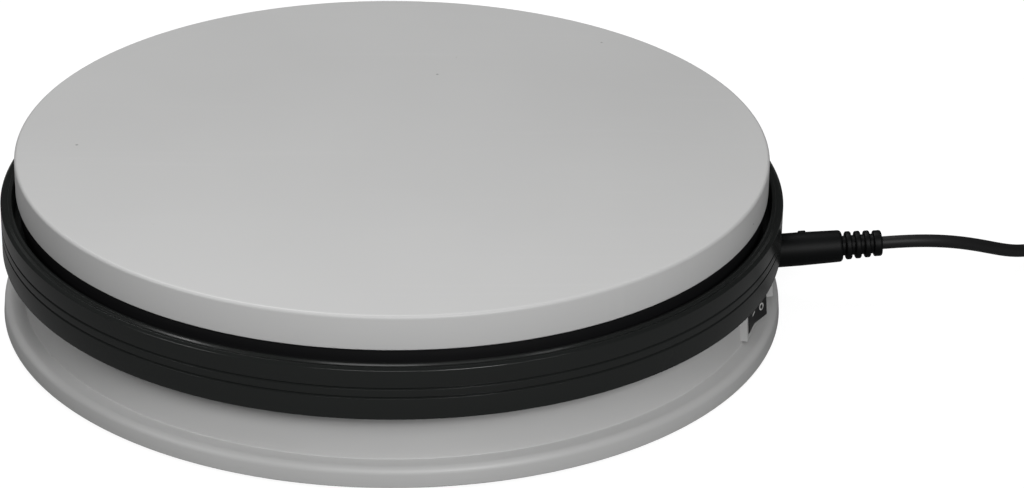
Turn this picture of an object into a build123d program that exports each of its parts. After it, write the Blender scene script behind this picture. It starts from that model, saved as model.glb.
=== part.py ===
from build123d import *
import os
from math import atan2, cos, degrees, pi, radians, sin, sqrt, tan

# A round motorised display stand: a thick plate turns on a black ring housing,
# which sits on a pale base with a flange, a rocker switch and a power socket.
# Millimetres, +Z up, origin on the floor under the turning axis.

os.makedirs("parts", exist_ok=True)

# Running gap between parts that turn past each other, and gap between parts that only lie close
running_gap = 0.05
loose_gap = 0.15

# Feet
foot_height = 1.5
foot_recess = 1.0
foot_radius = 6.0
foot_inset = 12.4
foot_count = 4

# Base: floor, flange and drafted wall
flange_overhang = 0.4
flange_height = 5.0
flange_edge = 1.2
flange_draft = 0.5
flange_groove_width = 4.6
flange_groove_depth = 2.6
flange_rim = 2.8
flange_shelf = 8.0
wall_draft = 4.0
wall_thickness = 2.4
floor_thickness = 2.5
exposed_wall = 13.1

# Ring housing: outer ring, lip round the plate, deck across the inside
ring_radius = 100.0
ring_height = 13.0
ring_wall = 2.6
ring_edge = 1.0
lip_width = 3.0
lip_rise = 0.8
lip_edge = 0.4
groove_width = 0.6
groove_depth = 0.6
lower_groove_height = 5.8
upper_groove_height = 8.0
skirt_drop = 3.9
deck_thickness = 2.5

# Plate and the tray that carries it
plate_gap = 1.0
plate_thickness = 8.9
plate_skin = 3.2
plate_edge = 1.0
plate_wall = 3.0
plate_rib_wall = 1.6
plate_rib_ring = 45.0
plate_overhang = 0.8
tray_thickness = 3.2
tray_rim_depth = 6.0
tray_rim_wall = 2.0

# Spindle, bush and clip
spindle_radius = 4.0
bush_wall = 2.0
bush_flange = 1.6
bush_flange_height = 1.0
boss_wall = 3.0
clip_thickness = 0.8
clip_groove = 0.8

# Support rollers in open cradles on the deck
roller_count = 6
roller_azimuth = 0.0
roller_inset = 15.2
roller_radius = 3.2
roller_width = 6.0
roller_lift = 0.2
journal_radius = 1.2
journal_length = 2.2
cradle_wall = 1.8
cradle_width = 5.0

# Gear train: motor pinion, cluster gear, ring gear under the tray
ring_module = 1.5
ring_teeth = 72
ring_gear_wall = 3.0
cluster_small_teeth = 12
cluster_module = 1.0
cluster_large_teeth = 40
pinion_teeth = 12
tooth_reach = 0.9
tooth_depth = 1.25
backlash = 0.6
large_gear_height = 2.2
small_gear_height = 3.6
pinion_height = 3.2
ring_gear_height = 3.2
cluster_azimuth = 150.0
pinion_azimuth = 185.0
gear_pin_radius = 1.5

# Flat geared motor under the deck
motor_radius = 14.0
motor_height = 19.0
motor_shaft_offset = 8.0
motor_boss_radius = 4.5
motor_boss_height = 1.6
motor_shaft_radius = 2.5
motor_shaft_length = 8.0
motor_ear_span = 17.5
motor_ear_radius = 3.5
motor_ear_thickness = 0.8
wire_block_size = (5.0, 14.6, 12.0)

# Screws
screw_radius = 1.5
screw_pilot = 1.2
screw_head_radius = 2.8
screw_head_height = 1.8
screw_head_recess = 0.6
housing_screw_inset = 12.4
housing_screw_count = 4
housing_screw_azimuth = 45.0
screw_tower_rise = 3.0
housing_screw_length = 14.0
plate_screw_count = 4
plate_screw_length = 6.5

# Rocker switch in its flat pad
switch_azimuth = -18.0
switch_height = 12.1
switch_pad_reach = 3.6
switch_pad_width = 18.4
rocker_reach = 7.0
rocker_height = 6.8
rocker_pivot_depth = 2.5
rocker_half_angle = 9.0
rocker_rise = 1.1
rocker_skirt = 0.7
trunnion_radius = 0.9
trunnion_length = 0.7
switch_wall = 0.8
switch_front_wall = 1.6
switch_depth = 9.0
terminal_length = 6.0

# Power socket in its panel, and the plug in the socket
socket_azimuth = 2.0
socket_height = 12.4
socket_panel_reach = 4.2
socket_panel_width = 38.0
socket_panel_foot = 9.0
socket_nose_radius = 4.0
socket_bore_radius = 2.85
socket_bore_depth = 9.7
socket_pin_radius = 1.0
socket_pin_set_back = 2.0
socket_body = (9.0, 10.6, 12.0)
barrel_radius = 2.75
barrel_bore = 1.1
barrel_length = 9.5
plug_radius = 4.4
plug_tail_radius = 4.15
plug_length = 20.45
plug_nub = (0.7, 1.2, 2.0)
plug_nub_place = 10.2
plug_nub_azimuth = 65.0
relief_rib_count = 3
relief_rib_pitch = 2.45
relief_rib_width = 1.6
relief_rib_radius = 3.7
relief_rib_taper = 0.08
relief_core_radius = 2.6
relief_collar_width = 2.2
relief_collar_radius = 3.4

# Control board on two posts
board_azimuth = -6.0
board_inset = 29.4
board_size = (22.0, 44.0, 1.6)
board_height = 9.0
board_post_radius = 3.0
board_post_spacing = 34.0
board_screw_length = 5.0

# Lead: a metre of thin round cord, wound up behind the stand
cord_radius = 1.7
coil_centre = (203.0, 66.0)
coil_mean_radius = 19.0
coil_columns = 2
coil_layers = 4
coil_turns = 7.2
tie_width = 9.0
tie_thickness = 0.7
tie_azimuth = 110.0
usb_body_size = (20.0, 15.0, 8.0)
usb_shell_size = (12.0, 12.0, 4.5)
usb_shell_wall = 0.35
usb_relief_length = 11.0
usb_tongue_thickness = 1.8
coil_entry_azimuth = -65.0
usb_heading = 117.0
usb_start = (212.5, 105.0, 4.0)

capacitor_radius = 2.6
capacitor_height = 6.0
capacitor_place = (5.0, -6.0)
chip_size = (5.0, 10.0, 3.0)
chip_place = (-4.0, 2.0)
header_size = (5.5, 7.5, 6.0)
header_places = [(-6.0, -11.0), (6.0, 8.0)]

# Radii worked out from the ring, from the outside in
flange_radius = ring_radius + flange_overhang
wall_foot_radius = flange_radius - flange_shelf
lip_inner_radius = ring_radius - lip_width
plate_radius = lip_inner_radius - plate_gap
tray_radius = plate_radius - plate_overhang
roller_circle = tray_radius - roller_inset
foot_circle = wall_foot_radius - foot_inset
housing_screw_circle = wall_foot_radius - housing_screw_inset
switch_face = wall_foot_radius + switch_pad_reach
socket_face = wall_foot_radius + socket_panel_reach
board_distance = wall_foot_radius - board_inset
ring_pitch_radius = ring_module * ring_teeth / 2
ring_gear_radius = ring_pitch_radius + tooth_depth * ring_module + ring_gear_wall
plate_screw_circle = (ring_gear_radius + roller_circle - roller_width / 2) / 2

# Levels worked out from the sizes above
base_bottom = foot_height
floor_top = base_bottom + floor_thickness
screw_tower_top = floor_top + screw_tower_rise
flange_top = base_bottom + flange_height
ring_bottom = flange_top + exposed_wall
deck_bottom = ring_bottom + skirt_drop
deck_top = deck_bottom + deck_thickness
ring_top = ring_bottom + ring_height
lip_top = ring_top + lip_rise
roller_axis_height = deck_top + roller_lift + roller_radius
track_height = roller_axis_height + roller_radius + running_gap
tray_top = track_height + tray_thickness
plate_top = tray_top + plate_thickness
wall_top_radius = wall_foot_radius - (deck_bottom - flange_top) * tan(radians(wall_draft))
boss_top = deck_top + 1.5
hub_bottom = boss_top + bush_flange_height + running_gap


def polar(distance, azimuth):
    return (distance * cos(radians(azimuth)), distance * sin(radians(azimuth)))


def wall_plane(azimuth, distance, height):
    """Plane on the drafted wall: x along the wall, y up it, z out of it."""
    side = (-sin(radians(azimuth)), cos(radians(azimuth)), 0)
    lean = cos(radians(wall_draft))
    out = (
        cos(radians(azimuth)) * lean,
        sin(radians(azimuth)) * lean,
        sin(radians(wall_draft)),
    )
    return Plane(origin=(*polar(distance, azimuth), height), x_dir=side, z_dir=out)


def gear_plane(centre, azimuth, height):
    """Level plane at a gear's centre, turned so that a tooth points along azimuth."""
    turned = (cos(radians(azimuth)), sin(radians(azimuth)), 0)
    return Plane(origin=(*centre, height), x_dir=turned, z_dir=(0, 0, 1))


def gear_outline(teeth, module, above, below, play):
    """Corners of straight-flanked teeth, the first centred on x.

    The teeth reach above and below the pitch circle by so many modules, and play thins them.
    """
    pitch_radius = module * teeth / 2
    corners = []
    for tooth in range(teeth):
        middle = 2 * pi * tooth / teeth
        for side, share in ((-1, -below), (-1, above), (1, above), (1, -below)):
            reach = share * module
            half = (pi * module - play) / 4 - reach * tan(radians(20))
            radius = pitch_radius + reach
            turn = middle + side * half / radius
            corners.append((radius * cos(turn), radius * sin(turn)))
    return corners


# Base shell: floor, hollow flange, drafted wall, pads for switch and socket
with BuildPart() as base_shell:
    with BuildSketch(Plane.XZ):
        with BuildLine():
            groove_outer = flange_radius - flange_rim
            groove_inner = groove_outer - flange_groove_width
            groove_top = base_bottom + flange_groove_depth
            Polyline(
                (0, deck_bottom),
                (0, base_bottom),
                (groove_inner, base_bottom),
                (groove_inner, groove_top),
                (groove_outer, groove_top),
                (groove_outer, base_bottom),
                (flange_radius, base_bottom),
                (flange_radius - flange_draft, flange_top - flange_edge),
                (flange_radius - flange_draft - flange_edge, flange_top),
                (wall_foot_radius, flange_top),
                (wall_top_radius, deck_bottom),
                close=True,
            )
        make_face()
    revolve(axis=Axis.Z)
    pad_top = ring_bottom - 2 * loose_gap
    switch_plane = wall_plane(switch_azimuth, switch_face, switch_height)
    with BuildSketch(switch_plane):
        with Locations((0, (pad_top + flange_top) / 2 - switch_height)):
            Rectangle(switch_pad_width, pad_top - flange_top + 1)
    extrude(amount=-(switch_face - wall_top_radius + 2))
    socket_plane = wall_plane(socket_azimuth, socket_face, socket_height)
    with BuildSketch(socket_plane):
        with Locations((0, (pad_top + socket_panel_foot) / 2 - socket_height)):
            Rectangle(socket_panel_width, pad_top - socket_panel_foot)
    extrude(amount=-(socket_face - wall_top_radius + 2))
    with BuildSketch(Plane.XZ):
        with BuildLine():
            Polyline(
                (0, floor_top),
                (wall_foot_radius - wall_thickness, floor_top),
                (wall_top_radius - wall_thickness, deck_bottom),
                (wall_top_radius - wall_thickness, deck_bottom + 1),
                (0, deck_bottom + 1),
                close=True,
            )
        make_face()
    revolve(axis=Axis.Z, mode=Mode.SUBTRACT)
    # Towers that the housing's screws pass through, from counterbores under the floor
    with BuildSketch(Plane.XY.offset(floor_top)):
        with PolarLocations(housing_screw_circle, housing_screw_count, housing_screw_azimuth):
            Circle(screw_head_radius + 1.6)
    extrude(amount=screw_tower_top - floor_top)
    with BuildSketch(Plane.XY.offset(base_bottom)):
        with PolarLocations(housing_screw_circle, housing_screw_count, housing_screw_azimuth):
            Circle(screw_head_radius + 0.3)
    extrude(amount=screw_head_height + screw_head_recess, mode=Mode.SUBTRACT)
    with BuildSketch(Plane.XY.offset(base_bottom)):
        with PolarLocations(housing_screw_circle, housing_screw_count, housing_screw_azimuth):
            Circle(screw_radius + loose_gap)
    extrude(amount=screw_tower_top - base_bottom, mode=Mode.SUBTRACT)
    # Pockets for the feet
    with BuildSketch(Plane.XY.offset(base_bottom)):
        with PolarLocations(foot_circle, foot_count):
            Circle(foot_radius)
    extrude(amount=foot_recess, mode=Mode.SUBTRACT)
    # Posts for the control board
    with BuildSketch(gear_plane(polar(board_distance, board_azimuth), board_azimuth, floor_top)):
        with GridLocations(0, board_post_spacing, 1, 2):
            Circle(board_post_radius)
            Circle(screw_pilot, mode=Mode.SUBTRACT)
    extrude(amount=board_height - floor_top)
    # Window and pocket for the rocker switch
    with BuildSketch(switch_plane):
        Rectangle(2 * (rocker_reach + running_gap), rocker_height + 2 * loose_gap)
    extrude(amount=-(switch_face - wall_top_radius + 4), mode=Mode.SUBTRACT)
    with BuildSketch(switch_plane.offset(-switch_front_wall)):
        Rectangle(
            2 * (rocker_reach + 2 * loose_gap + switch_wall),
            rocker_height + 4 * loose_gap + 2 * switch_wall,
        )
    extrude(amount=-(switch_face - wall_top_radius + 4), mode=Mode.SUBTRACT)
    # Opening for the socket's nose and the pocket for its body
    with BuildSketch(socket_plane):
        Circle(socket_nose_radius + loose_gap)
    extrude(amount=-(socket_face - wall_top_radius + 4), mode=Mode.SUBTRACT)
    with BuildSketch(socket_plane.offset(-wall_thickness)):
        Rectangle(socket_body[0] + 2 * loose_gap, socket_body[1] + 2 * loose_gap)
    extrude(amount=-(socket_face - wall_top_radius + 4), mode=Mode.SUBTRACT)
base_shell.part.label = "base_shell"
export_step(base_shell.part, "parts/base_shell.step")

# Rubber feet pressed into the pockets, each with a softened lower edge
with BuildPart() as rubber_feet:
    with BuildSketch(Plane.XY):
        with PolarLocations(foot_circle, foot_count):
            Circle(foot_radius)
    extrude(amount=foot_height + foot_recess)
    chamfer(rubber_feet.faces().sort_by(Axis.Z)[:foot_count].edges(), 0.4)
rubber_feet.part.label = "rubber_feet"
export_step(rubber_feet.part, "parts/rubber_feet.step")

# Ring housing: grooved black ring with a lip, and the deck that closes the base
cluster_radius = ring_module * (ring_teeth - cluster_small_teeth) / 2
cluster_centre = polar(cluster_radius, cluster_azimuth)
mesh_distance = cluster_module * (cluster_large_teeth + pinion_teeth) / 2
turn_between = radians(pinion_azimuth - cluster_azimuth)
pinion_radius = cluster_radius * cos(turn_between) - sqrt(
    mesh_distance**2 - (cluster_radius * sin(turn_between)) ** 2
)
pinion_centre = polar(pinion_radius, pinion_azimuth)
mesh_azimuth = degrees(
    atan2(pinion_centre[1] - cluster_centre[1], pinion_centre[0] - cluster_centre[0])
)
cradle_middle = roller_width / 2 + loose_gap + cradle_wall / 2
cradle_top = roller_axis_height + journal_radius
boss_radius = spindle_radius + boss_wall
screw_boss_radius = screw_radius + 2.4
with BuildPart() as ring_housing:
    with BuildSketch(Plane.XZ):
        with BuildLine():
            lower_groove = ring_bottom + lower_groove_height
            upper_groove = ring_bottom + upper_groove_height
            half_groove = groove_width / 2
            Polyline(
                (0, deck_top),
                (0, deck_bottom),
                (ring_radius - ring_wall, deck_bottom),
                (ring_radius - ring_wall, ring_bottom),
                (ring_radius - lip_edge, ring_bottom),
                (ring_radius, ring_bottom + lip_edge),
                (ring_radius, lower_groove - half_groove),
                (ring_radius - groove_depth, lower_groove),
                (ring_radius, lower_groove + half_groove),
                (ring_radius, upper_groove - half_groove),
                (ring_radius - groove_depth, upper_groove),
                (ring_radius, upper_groove + half_groove),
                (ring_radius, ring_top - ring_edge),
                (ring_radius - ring_edge, ring_top),
                (lip_inner_radius + lip_edge, lip_top),
                (lip_inner_radius, lip_top - lip_edge),
                (lip_inner_radius, deck_top),
                close=True,
            )
        make_face()
    revolve(axis=Axis.Z)
    # Hollow bosses under the deck for the screws that come up through the base
    with BuildSketch(Plane.XY.offset(screw_tower_top)):
        with PolarLocations(housing_screw_circle, housing_screw_count, housing_screw_azimuth):
            Circle(screw_boss_radius)
    extrude(amount=deck_bottom - screw_tower_top)
    with BuildSketch(Plane.XY.offset(screw_tower_top)):
        with PolarLocations(housing_screw_circle, housing_screw_count, housing_screw_azimuth):
            Circle(screw_pilot)
    extrude(amount=housing_screw_length, mode=Mode.SUBTRACT)
    # Central boss round the spindle
    with BuildSketch(Plane.XY.offset(deck_bottom - skirt_drop)):
        Circle(boss_radius)
    extrude(amount=boss_top - deck_bottom + skirt_drop)
    with BuildSketch(Plane.XY.offset(deck_bottom - skirt_drop + 1)):
        Circle(spindle_radius)
    extrude(amount=boss_top - deck_bottom + skirt_drop, mode=Mode.SUBTRACT)
    # Cradles: two open lugs to each roller
    with BuildSketch(Plane.XY.offset(deck_top)):
        with PolarLocations(roller_circle, roller_count, roller_azimuth):
            with Locations((-cradle_middle, 0), (cradle_middle, 0)):
                Rectangle(cradle_wall, cradle_width)
    extrude(amount=cradle_top - deck_top)
    for index in range(roller_count):
        azimuth = roller_azimuth + index * 360 / roller_count
        outward = Plane(
            origin=(*polar(roller_circle, azimuth), roller_axis_height),
            x_dir=(-sin(radians(azimuth)), cos(radians(azimuth)), 0),
            z_dir=(*polar(1, azimuth), 0),
        )
        reach = cradle_middle + cradle_wall
        slot_width = 2 * (journal_radius + running_gap)
        with BuildSketch(outward.offset(-reach)):
            Circle(slot_width / 2)
            with Locations((0, journal_radius)):
                Rectangle(slot_width, 2 * journal_radius)
        extrude(amount=2 * reach, mode=Mode.SUBTRACT)
    # Holes for the motor's boss, the motor's screws and the cluster gear's pin
    with BuildSketch(Plane.XY.offset(deck_bottom)):
        with Locations(pinion_centre):
            Circle(motor_boss_radius + loose_gap)
        with Locations(cluster_centre):
            Circle(gear_pin_radius)
        with Locations(gear_plane(pinion_centre, pinion_azimuth, deck_bottom)):
            with Locations((motor_shaft_offset, -motor_ear_span), (motor_shaft_offset, motor_ear_span)):
                Circle(screw_pilot)
    extrude(amount=deck_thickness, mode=Mode.SUBTRACT)
ring_housing.part.label = "ring_housing"
export_step(ring_housing.part, "parts/ring_housing.step")

# Screws from below that hold the housing down on the base
housing_screw_seat = base_bottom + screw_head_height + screw_head_recess
with BuildPart() as housing_screws:
    with PolarLocations(housing_screw_circle, housing_screw_count, housing_screw_azimuth):
        with Locations((0, 0, housing_screw_seat - screw_head_height)):
            Cylinder(
                screw_head_radius, screw_head_height, align=(Align.CENTER, Align.CENTER, Align.MIN)
            )
        with Locations((0, 0, housing_screw_seat)):
            Cylinder(
                screw_radius, housing_screw_length, align=(Align.CENTER, Align.CENTER, Align.MIN)
            )
housing_screws.part.label = "housing_screws"
export_step(housing_screws.part, "parts/housing_screws.step")

# Steel spindle, pressed into the deck's boss, grooved for the clip
bush_top = tray_top + bush_flange_height
clip_bottom = bush_top + running_gap
with BuildPart() as spindle:
    with BuildSketch(Plane.XZ):
        with BuildLine():
            clip_top = clip_bottom + clip_thickness
            Polyline(
                (0, deck_bottom - skirt_drop + 1),
                (spindle_radius, deck_bottom - skirt_drop + 1),
                (spindle_radius, clip_bottom),
                (spindle_radius - clip_groove, clip_bottom),
                (spindle_radius - clip_groove, clip_top),
                (spindle_radius, clip_top),
                (spindle_radius, clip_top + 0.8),
                (spindle_radius - 0.5, clip_top + 1.3),
                (0, clip_top + 1.3),
                close=True,
            )
        make_face()
    revolve(axis=Axis.Z)
spindle.part.label = "spindle"
export_step(spindle.part, "parts/spindle.step")

# Open spring clip in the spindle's groove
with BuildPart() as retaining_clip:
    with BuildSketch(Plane.XY.offset(clip_bottom)):
        Circle(spindle_radius + 2.4)
        Circle(spindle_radius - clip_groove, mode=Mode.SUBTRACT)
        with Locations((spindle_radius + 1.2, 0)):
            Rectangle(2 * spindle_radius, 1.6 * (spindle_radius - clip_groove), mode=Mode.SUBTRACT)
    extrude(amount=clip_thickness)
retaining_clip.part.label = "retaining_clip"
export_step(retaining_clip.part, "parts/retaining_clip.step")

# Flanged bush pressed into the tray's hub, which turns on the spindle
bush_radius = spindle_radius + bush_wall
with BuildPart() as hub_bush:
    with BuildSketch(Plane.XY.offset(boss_top + running_gap)):
        Circle(bush_radius + bush_flange)
        Circle(spindle_radius + running_gap, mode=Mode.SUBTRACT)
    extrude(amount=bush_flange_height)
    with BuildSketch(Plane.XY.offset(hub_bottom)):
        Circle(bush_radius)
        Circle(spindle_radius + running_gap, mode=Mode.SUBTRACT)
    extrude(amount=bush_top - hub_bottom)
hub_bush.part.label = "hub_bush"
export_step(hub_bush.part, "parts/hub_bush.step")

# Tray: flat disc with a rim, a hub for the bush and a track that the rollers carry
with BuildPart() as platter_tray:
    with BuildSketch(Plane.XZ):
        with BuildLine():
            rim_bottom = tray_top - tray_rim_depth
            Polyline(
                (bush_radius, hub_bottom),
                (bush_radius + boss_wall, hub_bottom),
                (bush_radius + boss_wall, track_height),
                (tray_radius - tray_rim_wall, track_height),
                (tray_radius - tray_rim_wall, rim_bottom),
                (tray_radius, rim_bottom),
                (tray_radius, tray_top),
                (bush_radius, tray_top),
                close=True,
            )
        make_face()
    revolve(axis=Axis.Z)
    with BuildSketch(Plane.XY.offset(track_height)):
        with PolarLocations(plate_screw_circle, plate_screw_count):
            Circle(screw_radius + loose_gap)
    extrude(amount=tray_thickness, mode=Mode.SUBTRACT)
platter_tray.part.label = "platter_tray"
export_step(platter_tray.part, "parts/platter_tray.step")

# Ring gear under the tray, with teeth on its inside
ring_gear_bottom = track_height - ring_gear_height
with BuildPart() as ring_gear:
    with BuildSketch(Plane.XY.offset(ring_gear_bottom)):
        Circle(ring_gear_radius)
        with BuildLine():
            Polyline(
                *gear_outline(ring_teeth, ring_module, tooth_depth, tooth_reach, -backlash),
                close=True,
            )
        make_face(mode=Mode.SUBTRACT)
    extrude(amount=ring_gear_height)
ring_gear.part.label = "ring_gear"
export_step(ring_gear.part, "parts/ring_gear.step")

# Cluster gear: a large wheel driven by the pinion, a small one driving the ring gear
cluster_bottom = deck_top + 2 * loose_gap
with BuildPart() as cluster_gear:
    with BuildSketch(gear_plane(cluster_centre, mesh_azimuth, cluster_bottom)):
        with BuildLine():
            Polyline(
                *gear_outline(
                    cluster_large_teeth, cluster_module, tooth_reach, tooth_depth, backlash
                ),
                close=True,
            )
        make_face()
    extrude(amount=large_gear_height)
    small_bottom = cluster_bottom + large_gear_height
    with BuildSketch(gear_plane(cluster_centre, cluster_azimuth, small_bottom)):
        with BuildLine():
            Polyline(
                *gear_outline(
                    cluster_small_teeth, ring_module, tooth_reach, tooth_depth, backlash
                ),
                close=True,
            )
        make_face()
    extrude(amount=small_gear_height)
    with BuildSketch(gear_plane(cluster_centre, 0, cluster_bottom)):
        Circle(gear_pin_radius + running_gap)
    extrude(amount=large_gear_height + small_gear_height, mode=Mode.SUBTRACT)
cluster_gear.part.label = "cluster_gear"
export_step(cluster_gear.part, "parts/cluster_gear.step")

# Steel pin in the deck that the cluster gear turns on
with BuildPart() as gear_pin:
    with BuildSketch(gear_plane(cluster_centre, 0, deck_bottom)):
        Circle(gear_pin_radius)
    extrude(amount=cluster_bottom + large_gear_height + small_gear_height - deck_bottom)
gear_pin.part.label = "gear_pin"
export_step(gear_pin.part, "parts/gear_pin.step")

# Motor shaft with two flats
shaft_flat = 0.6 * motor_shaft_radius
with BuildPart() as motor_shaft:
    with BuildSketch(gear_plane(pinion_centre, pinion_azimuth, deck_bottom)):
        Circle(motor_shaft_radius)
        Rectangle(2 * motor_shaft_radius, 2 * shaft_flat, mode=Mode.INTERSECT)
    extrude(amount=motor_shaft_length)
motor_shaft.part.label = "motor_shaft"
export_step(motor_shaft.part, "parts/motor_shaft.step")

# Brass pinion, turned so that its teeth meet the cluster gear's gaps
pinion_turn = mesh_azimuth + 180 + 180 / pinion_teeth
with BuildPart() as drive_pinion:
    with BuildSketch(gear_plane(pinion_centre, pinion_turn, cluster_bottom)):
        with BuildLine():
            Polyline(
                *gear_outline(
                    pinion_teeth, cluster_module, tooth_reach, tooth_depth, backlash
                ),
                close=True,
            )
        make_face()
    extrude(amount=pinion_height)
    with BuildSketch(gear_plane(pinion_centre, pinion_azimuth, cluster_bottom)):
        Circle(motor_shaft_radius)
        Rectangle(2 * motor_shaft_radius, 2 * shaft_flat, mode=Mode.INTERSECT)
    extrude(amount=pinion_height, mode=Mode.SUBTRACT)
drive_pinion.part.label = "drive_pinion"
export_step(drive_pinion.part, "parts/drive_pinion.step")

# Flat motor can with its ears and its boss
motor_top = deck_bottom
with BuildPart() as motor_can:
    with BuildSketch(gear_plane(pinion_centre, pinion_azimuth, motor_top - motor_height)):
        with Locations((motor_shaft_offset, 0)):
            Circle(motor_radius)
    extrude(amount=motor_height)
    with BuildSketch(gear_plane(pinion_centre, pinion_azimuth, motor_top - motor_ear_thickness)):
        with Locations((motor_shaft_offset, 0)):
            SlotCenterToCenter(2 * motor_ear_span, 2 * motor_ear_radius, rotation=90)
        with Locations((motor_shaft_offset, -motor_ear_span), (motor_shaft_offset, motor_ear_span)):
            Circle(screw_radius + loose_gap, mode=Mode.SUBTRACT)
    extrude(amount=motor_ear_thickness)
    with BuildSketch(gear_plane(pinion_centre, pinion_azimuth, motor_top)):
        Circle(motor_boss_radius)
    extrude(amount=motor_boss_height)
    with BuildSketch(gear_plane(pinion_centre, pinion_azimuth, motor_top)):
        Circle(motor_shaft_radius + running_gap)
    extrude(amount=motor_boss_height, mode=Mode.SUBTRACT)
motor_can.part.label = "motor_can"
export_step(motor_can.part, "parts/motor_can.step")

# Block where the motor's wires come out
with BuildPart() as motor_wire_block:
    with BuildSketch(gear_plane(pinion_centre, pinion_azimuth, motor_top - motor_height + 1)):
        with Locations((motor_shaft_offset + motor_radius, 0)):
            Rectangle(wire_block_size[0] + 2, wire_block_size[1])
        with Locations((motor_shaft_offset, 0)):
            Circle(motor_radius, mode=Mode.SUBTRACT)
    extrude(amount=wire_block_size[2])
motor_wire_block.part.label = "motor_wire_block"
export_step(motor_wire_block.part, "parts/motor_wire_block.step")

# Two short screws up through the motor's ears into the deck
motor_screw_seat = motor_top - motor_ear_thickness
with BuildPart() as motor_screws:
    with BuildSketch(gear_plane(pinion_centre, pinion_azimuth, motor_screw_seat)):
        with Locations((motor_shaft_offset, -motor_ear_span), (motor_shaft_offset, motor_ear_span)):
            Circle(screw_head_radius)
    extrude(amount=-screw_head_height)
    with BuildSketch(gear_plane(pinion_centre, pinion_azimuth, motor_screw_seat)):
        with Locations((motor_shaft_offset, -motor_ear_span), (motor_shaft_offset, motor_ear_span)):
            Circle(screw_radius)
    extrude(amount=motor_ear_thickness + deck_thickness)
motor_screws.part.label = "motor_screws"
export_step(motor_screws.part, "parts/motor_screws.step")

# Support rollers, each turned in one piece with its journals
for index in range(roller_count):
    azimuth = roller_azimuth + index * 360 / roller_count
    outward = Plane(
        origin=(*polar(roller_circle, azimuth), roller_axis_height),
        x_dir=(-sin(radians(azimuth)), cos(radians(azimuth)), 0),
        z_dir=(*polar(1, azimuth), 0),
    )
    name = f"support_roller_{index + 1}"
    with BuildPart() as support_roller:
        with BuildSketch(outward.offset(-roller_width / 2)):
            Circle(roller_radius)
        extrude(amount=roller_width)
        with BuildSketch(outward.offset(-roller_width / 2 - journal_length)):
            Circle(journal_radius)
        extrude(amount=roller_width + 2 * journal_length)
    support_roller.part.label = name
    export_step(support_roller.part, f"parts/{name}.step")

# Top plate: a moulded disc, hollow underneath, with ribs and bosses on the tray
with BuildPart() as top_plate:
    with BuildSketch(Plane.XZ):
        with BuildLine():
            Polyline(
                (0, plate_top - plate_skin),
                (plate_radius - plate_wall, plate_top - plate_skin),
                (plate_radius - plate_wall, tray_top),
                (plate_radius, tray_top),
                (plate_radius, plate_top - plate_edge),
                (plate_radius - plate_edge, plate_top),
                (0, plate_top),
                close=True,
            )
        make_face()
    revolve(axis=Axis.Z)
    with BuildSketch(Plane.XY.offset(tray_top)):
        with PolarLocations((plate_rib_ring + plate_radius - plate_wall) / 2, 2 * plate_screw_count):
            Rectangle(plate_radius - plate_wall - plate_rib_ring, plate_rib_wall)
        with PolarLocations(plate_screw_circle, plate_screw_count):
            Circle(screw_boss_radius)
        Circle(plate_rib_ring + plate_rib_wall)
        Circle(plate_rib_ring, mode=Mode.SUBTRACT)
    extrude(amount=plate_thickness - plate_skin)
    with BuildSketch(Plane.XY.offset(tray_top)):
        with PolarLocations(plate_screw_circle, plate_screw_count):
            Circle(screw_pilot)
    extrude(amount=plate_thickness - plate_skin, mode=Mode.SUBTRACT)
top_plate.part.label = "top_plate"
export_step(top_plate.part, "parts/top_plate.step")

# Screws from under the tray into the plate's bosses
with BuildPart() as plate_screws:
    with BuildSketch(Plane.XY.offset(track_height)):
        with PolarLocations(plate_screw_circle, plate_screw_count):
            Circle(screw_head_radius)
    extrude(amount=-screw_head_height)
    with BuildSketch(Plane.XY.offset(track_height)):
        with PolarLocations(plate_screw_circle, plate_screw_count):
            Circle(screw_radius)
    extrude(amount=plate_screw_length)
plate_screws.part.label = "plate_screws"
export_step(plate_screws.part, "parts/plate_screws.step")

# Switch housing: an open box behind the pad, with eyes for the rocker's trunnions
box_inner = (2 * (rocker_reach + 2 * loose_gap), rocker_height + 4 * loose_gap)
box_outer = (box_inner[0] + 2 * switch_wall, box_inner[1] + 2 * switch_wall)
with BuildPart() as switch_housing:
    with BuildSketch(switch_plane.offset(-switch_front_wall)):
        Rectangle(box_outer[0] - loose_gap, box_outer[1] - loose_gap)
    extrude(amount=-switch_depth)
    with BuildSketch(switch_plane.offset(-switch_front_wall)):
        Rectangle(*box_inner)
    extrude(amount=-(switch_depth - 2 * switch_wall), mode=Mode.SUBTRACT)
    pivot_plane = switch_plane.offset(-rocker_pivot_depth)
    with BuildSketch(Plane(origin=pivot_plane.origin, x_dir=pivot_plane.x_dir, z_dir=pivot_plane.y_dir)):
        Circle(trunnion_radius + running_gap)
    extrude(amount=box_outer[1], both=True, mode=Mode.SUBTRACT)
switch_housing.part.label = "switch_housing"
export_step(switch_housing.part, "parts/switch_housing.step")

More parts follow.
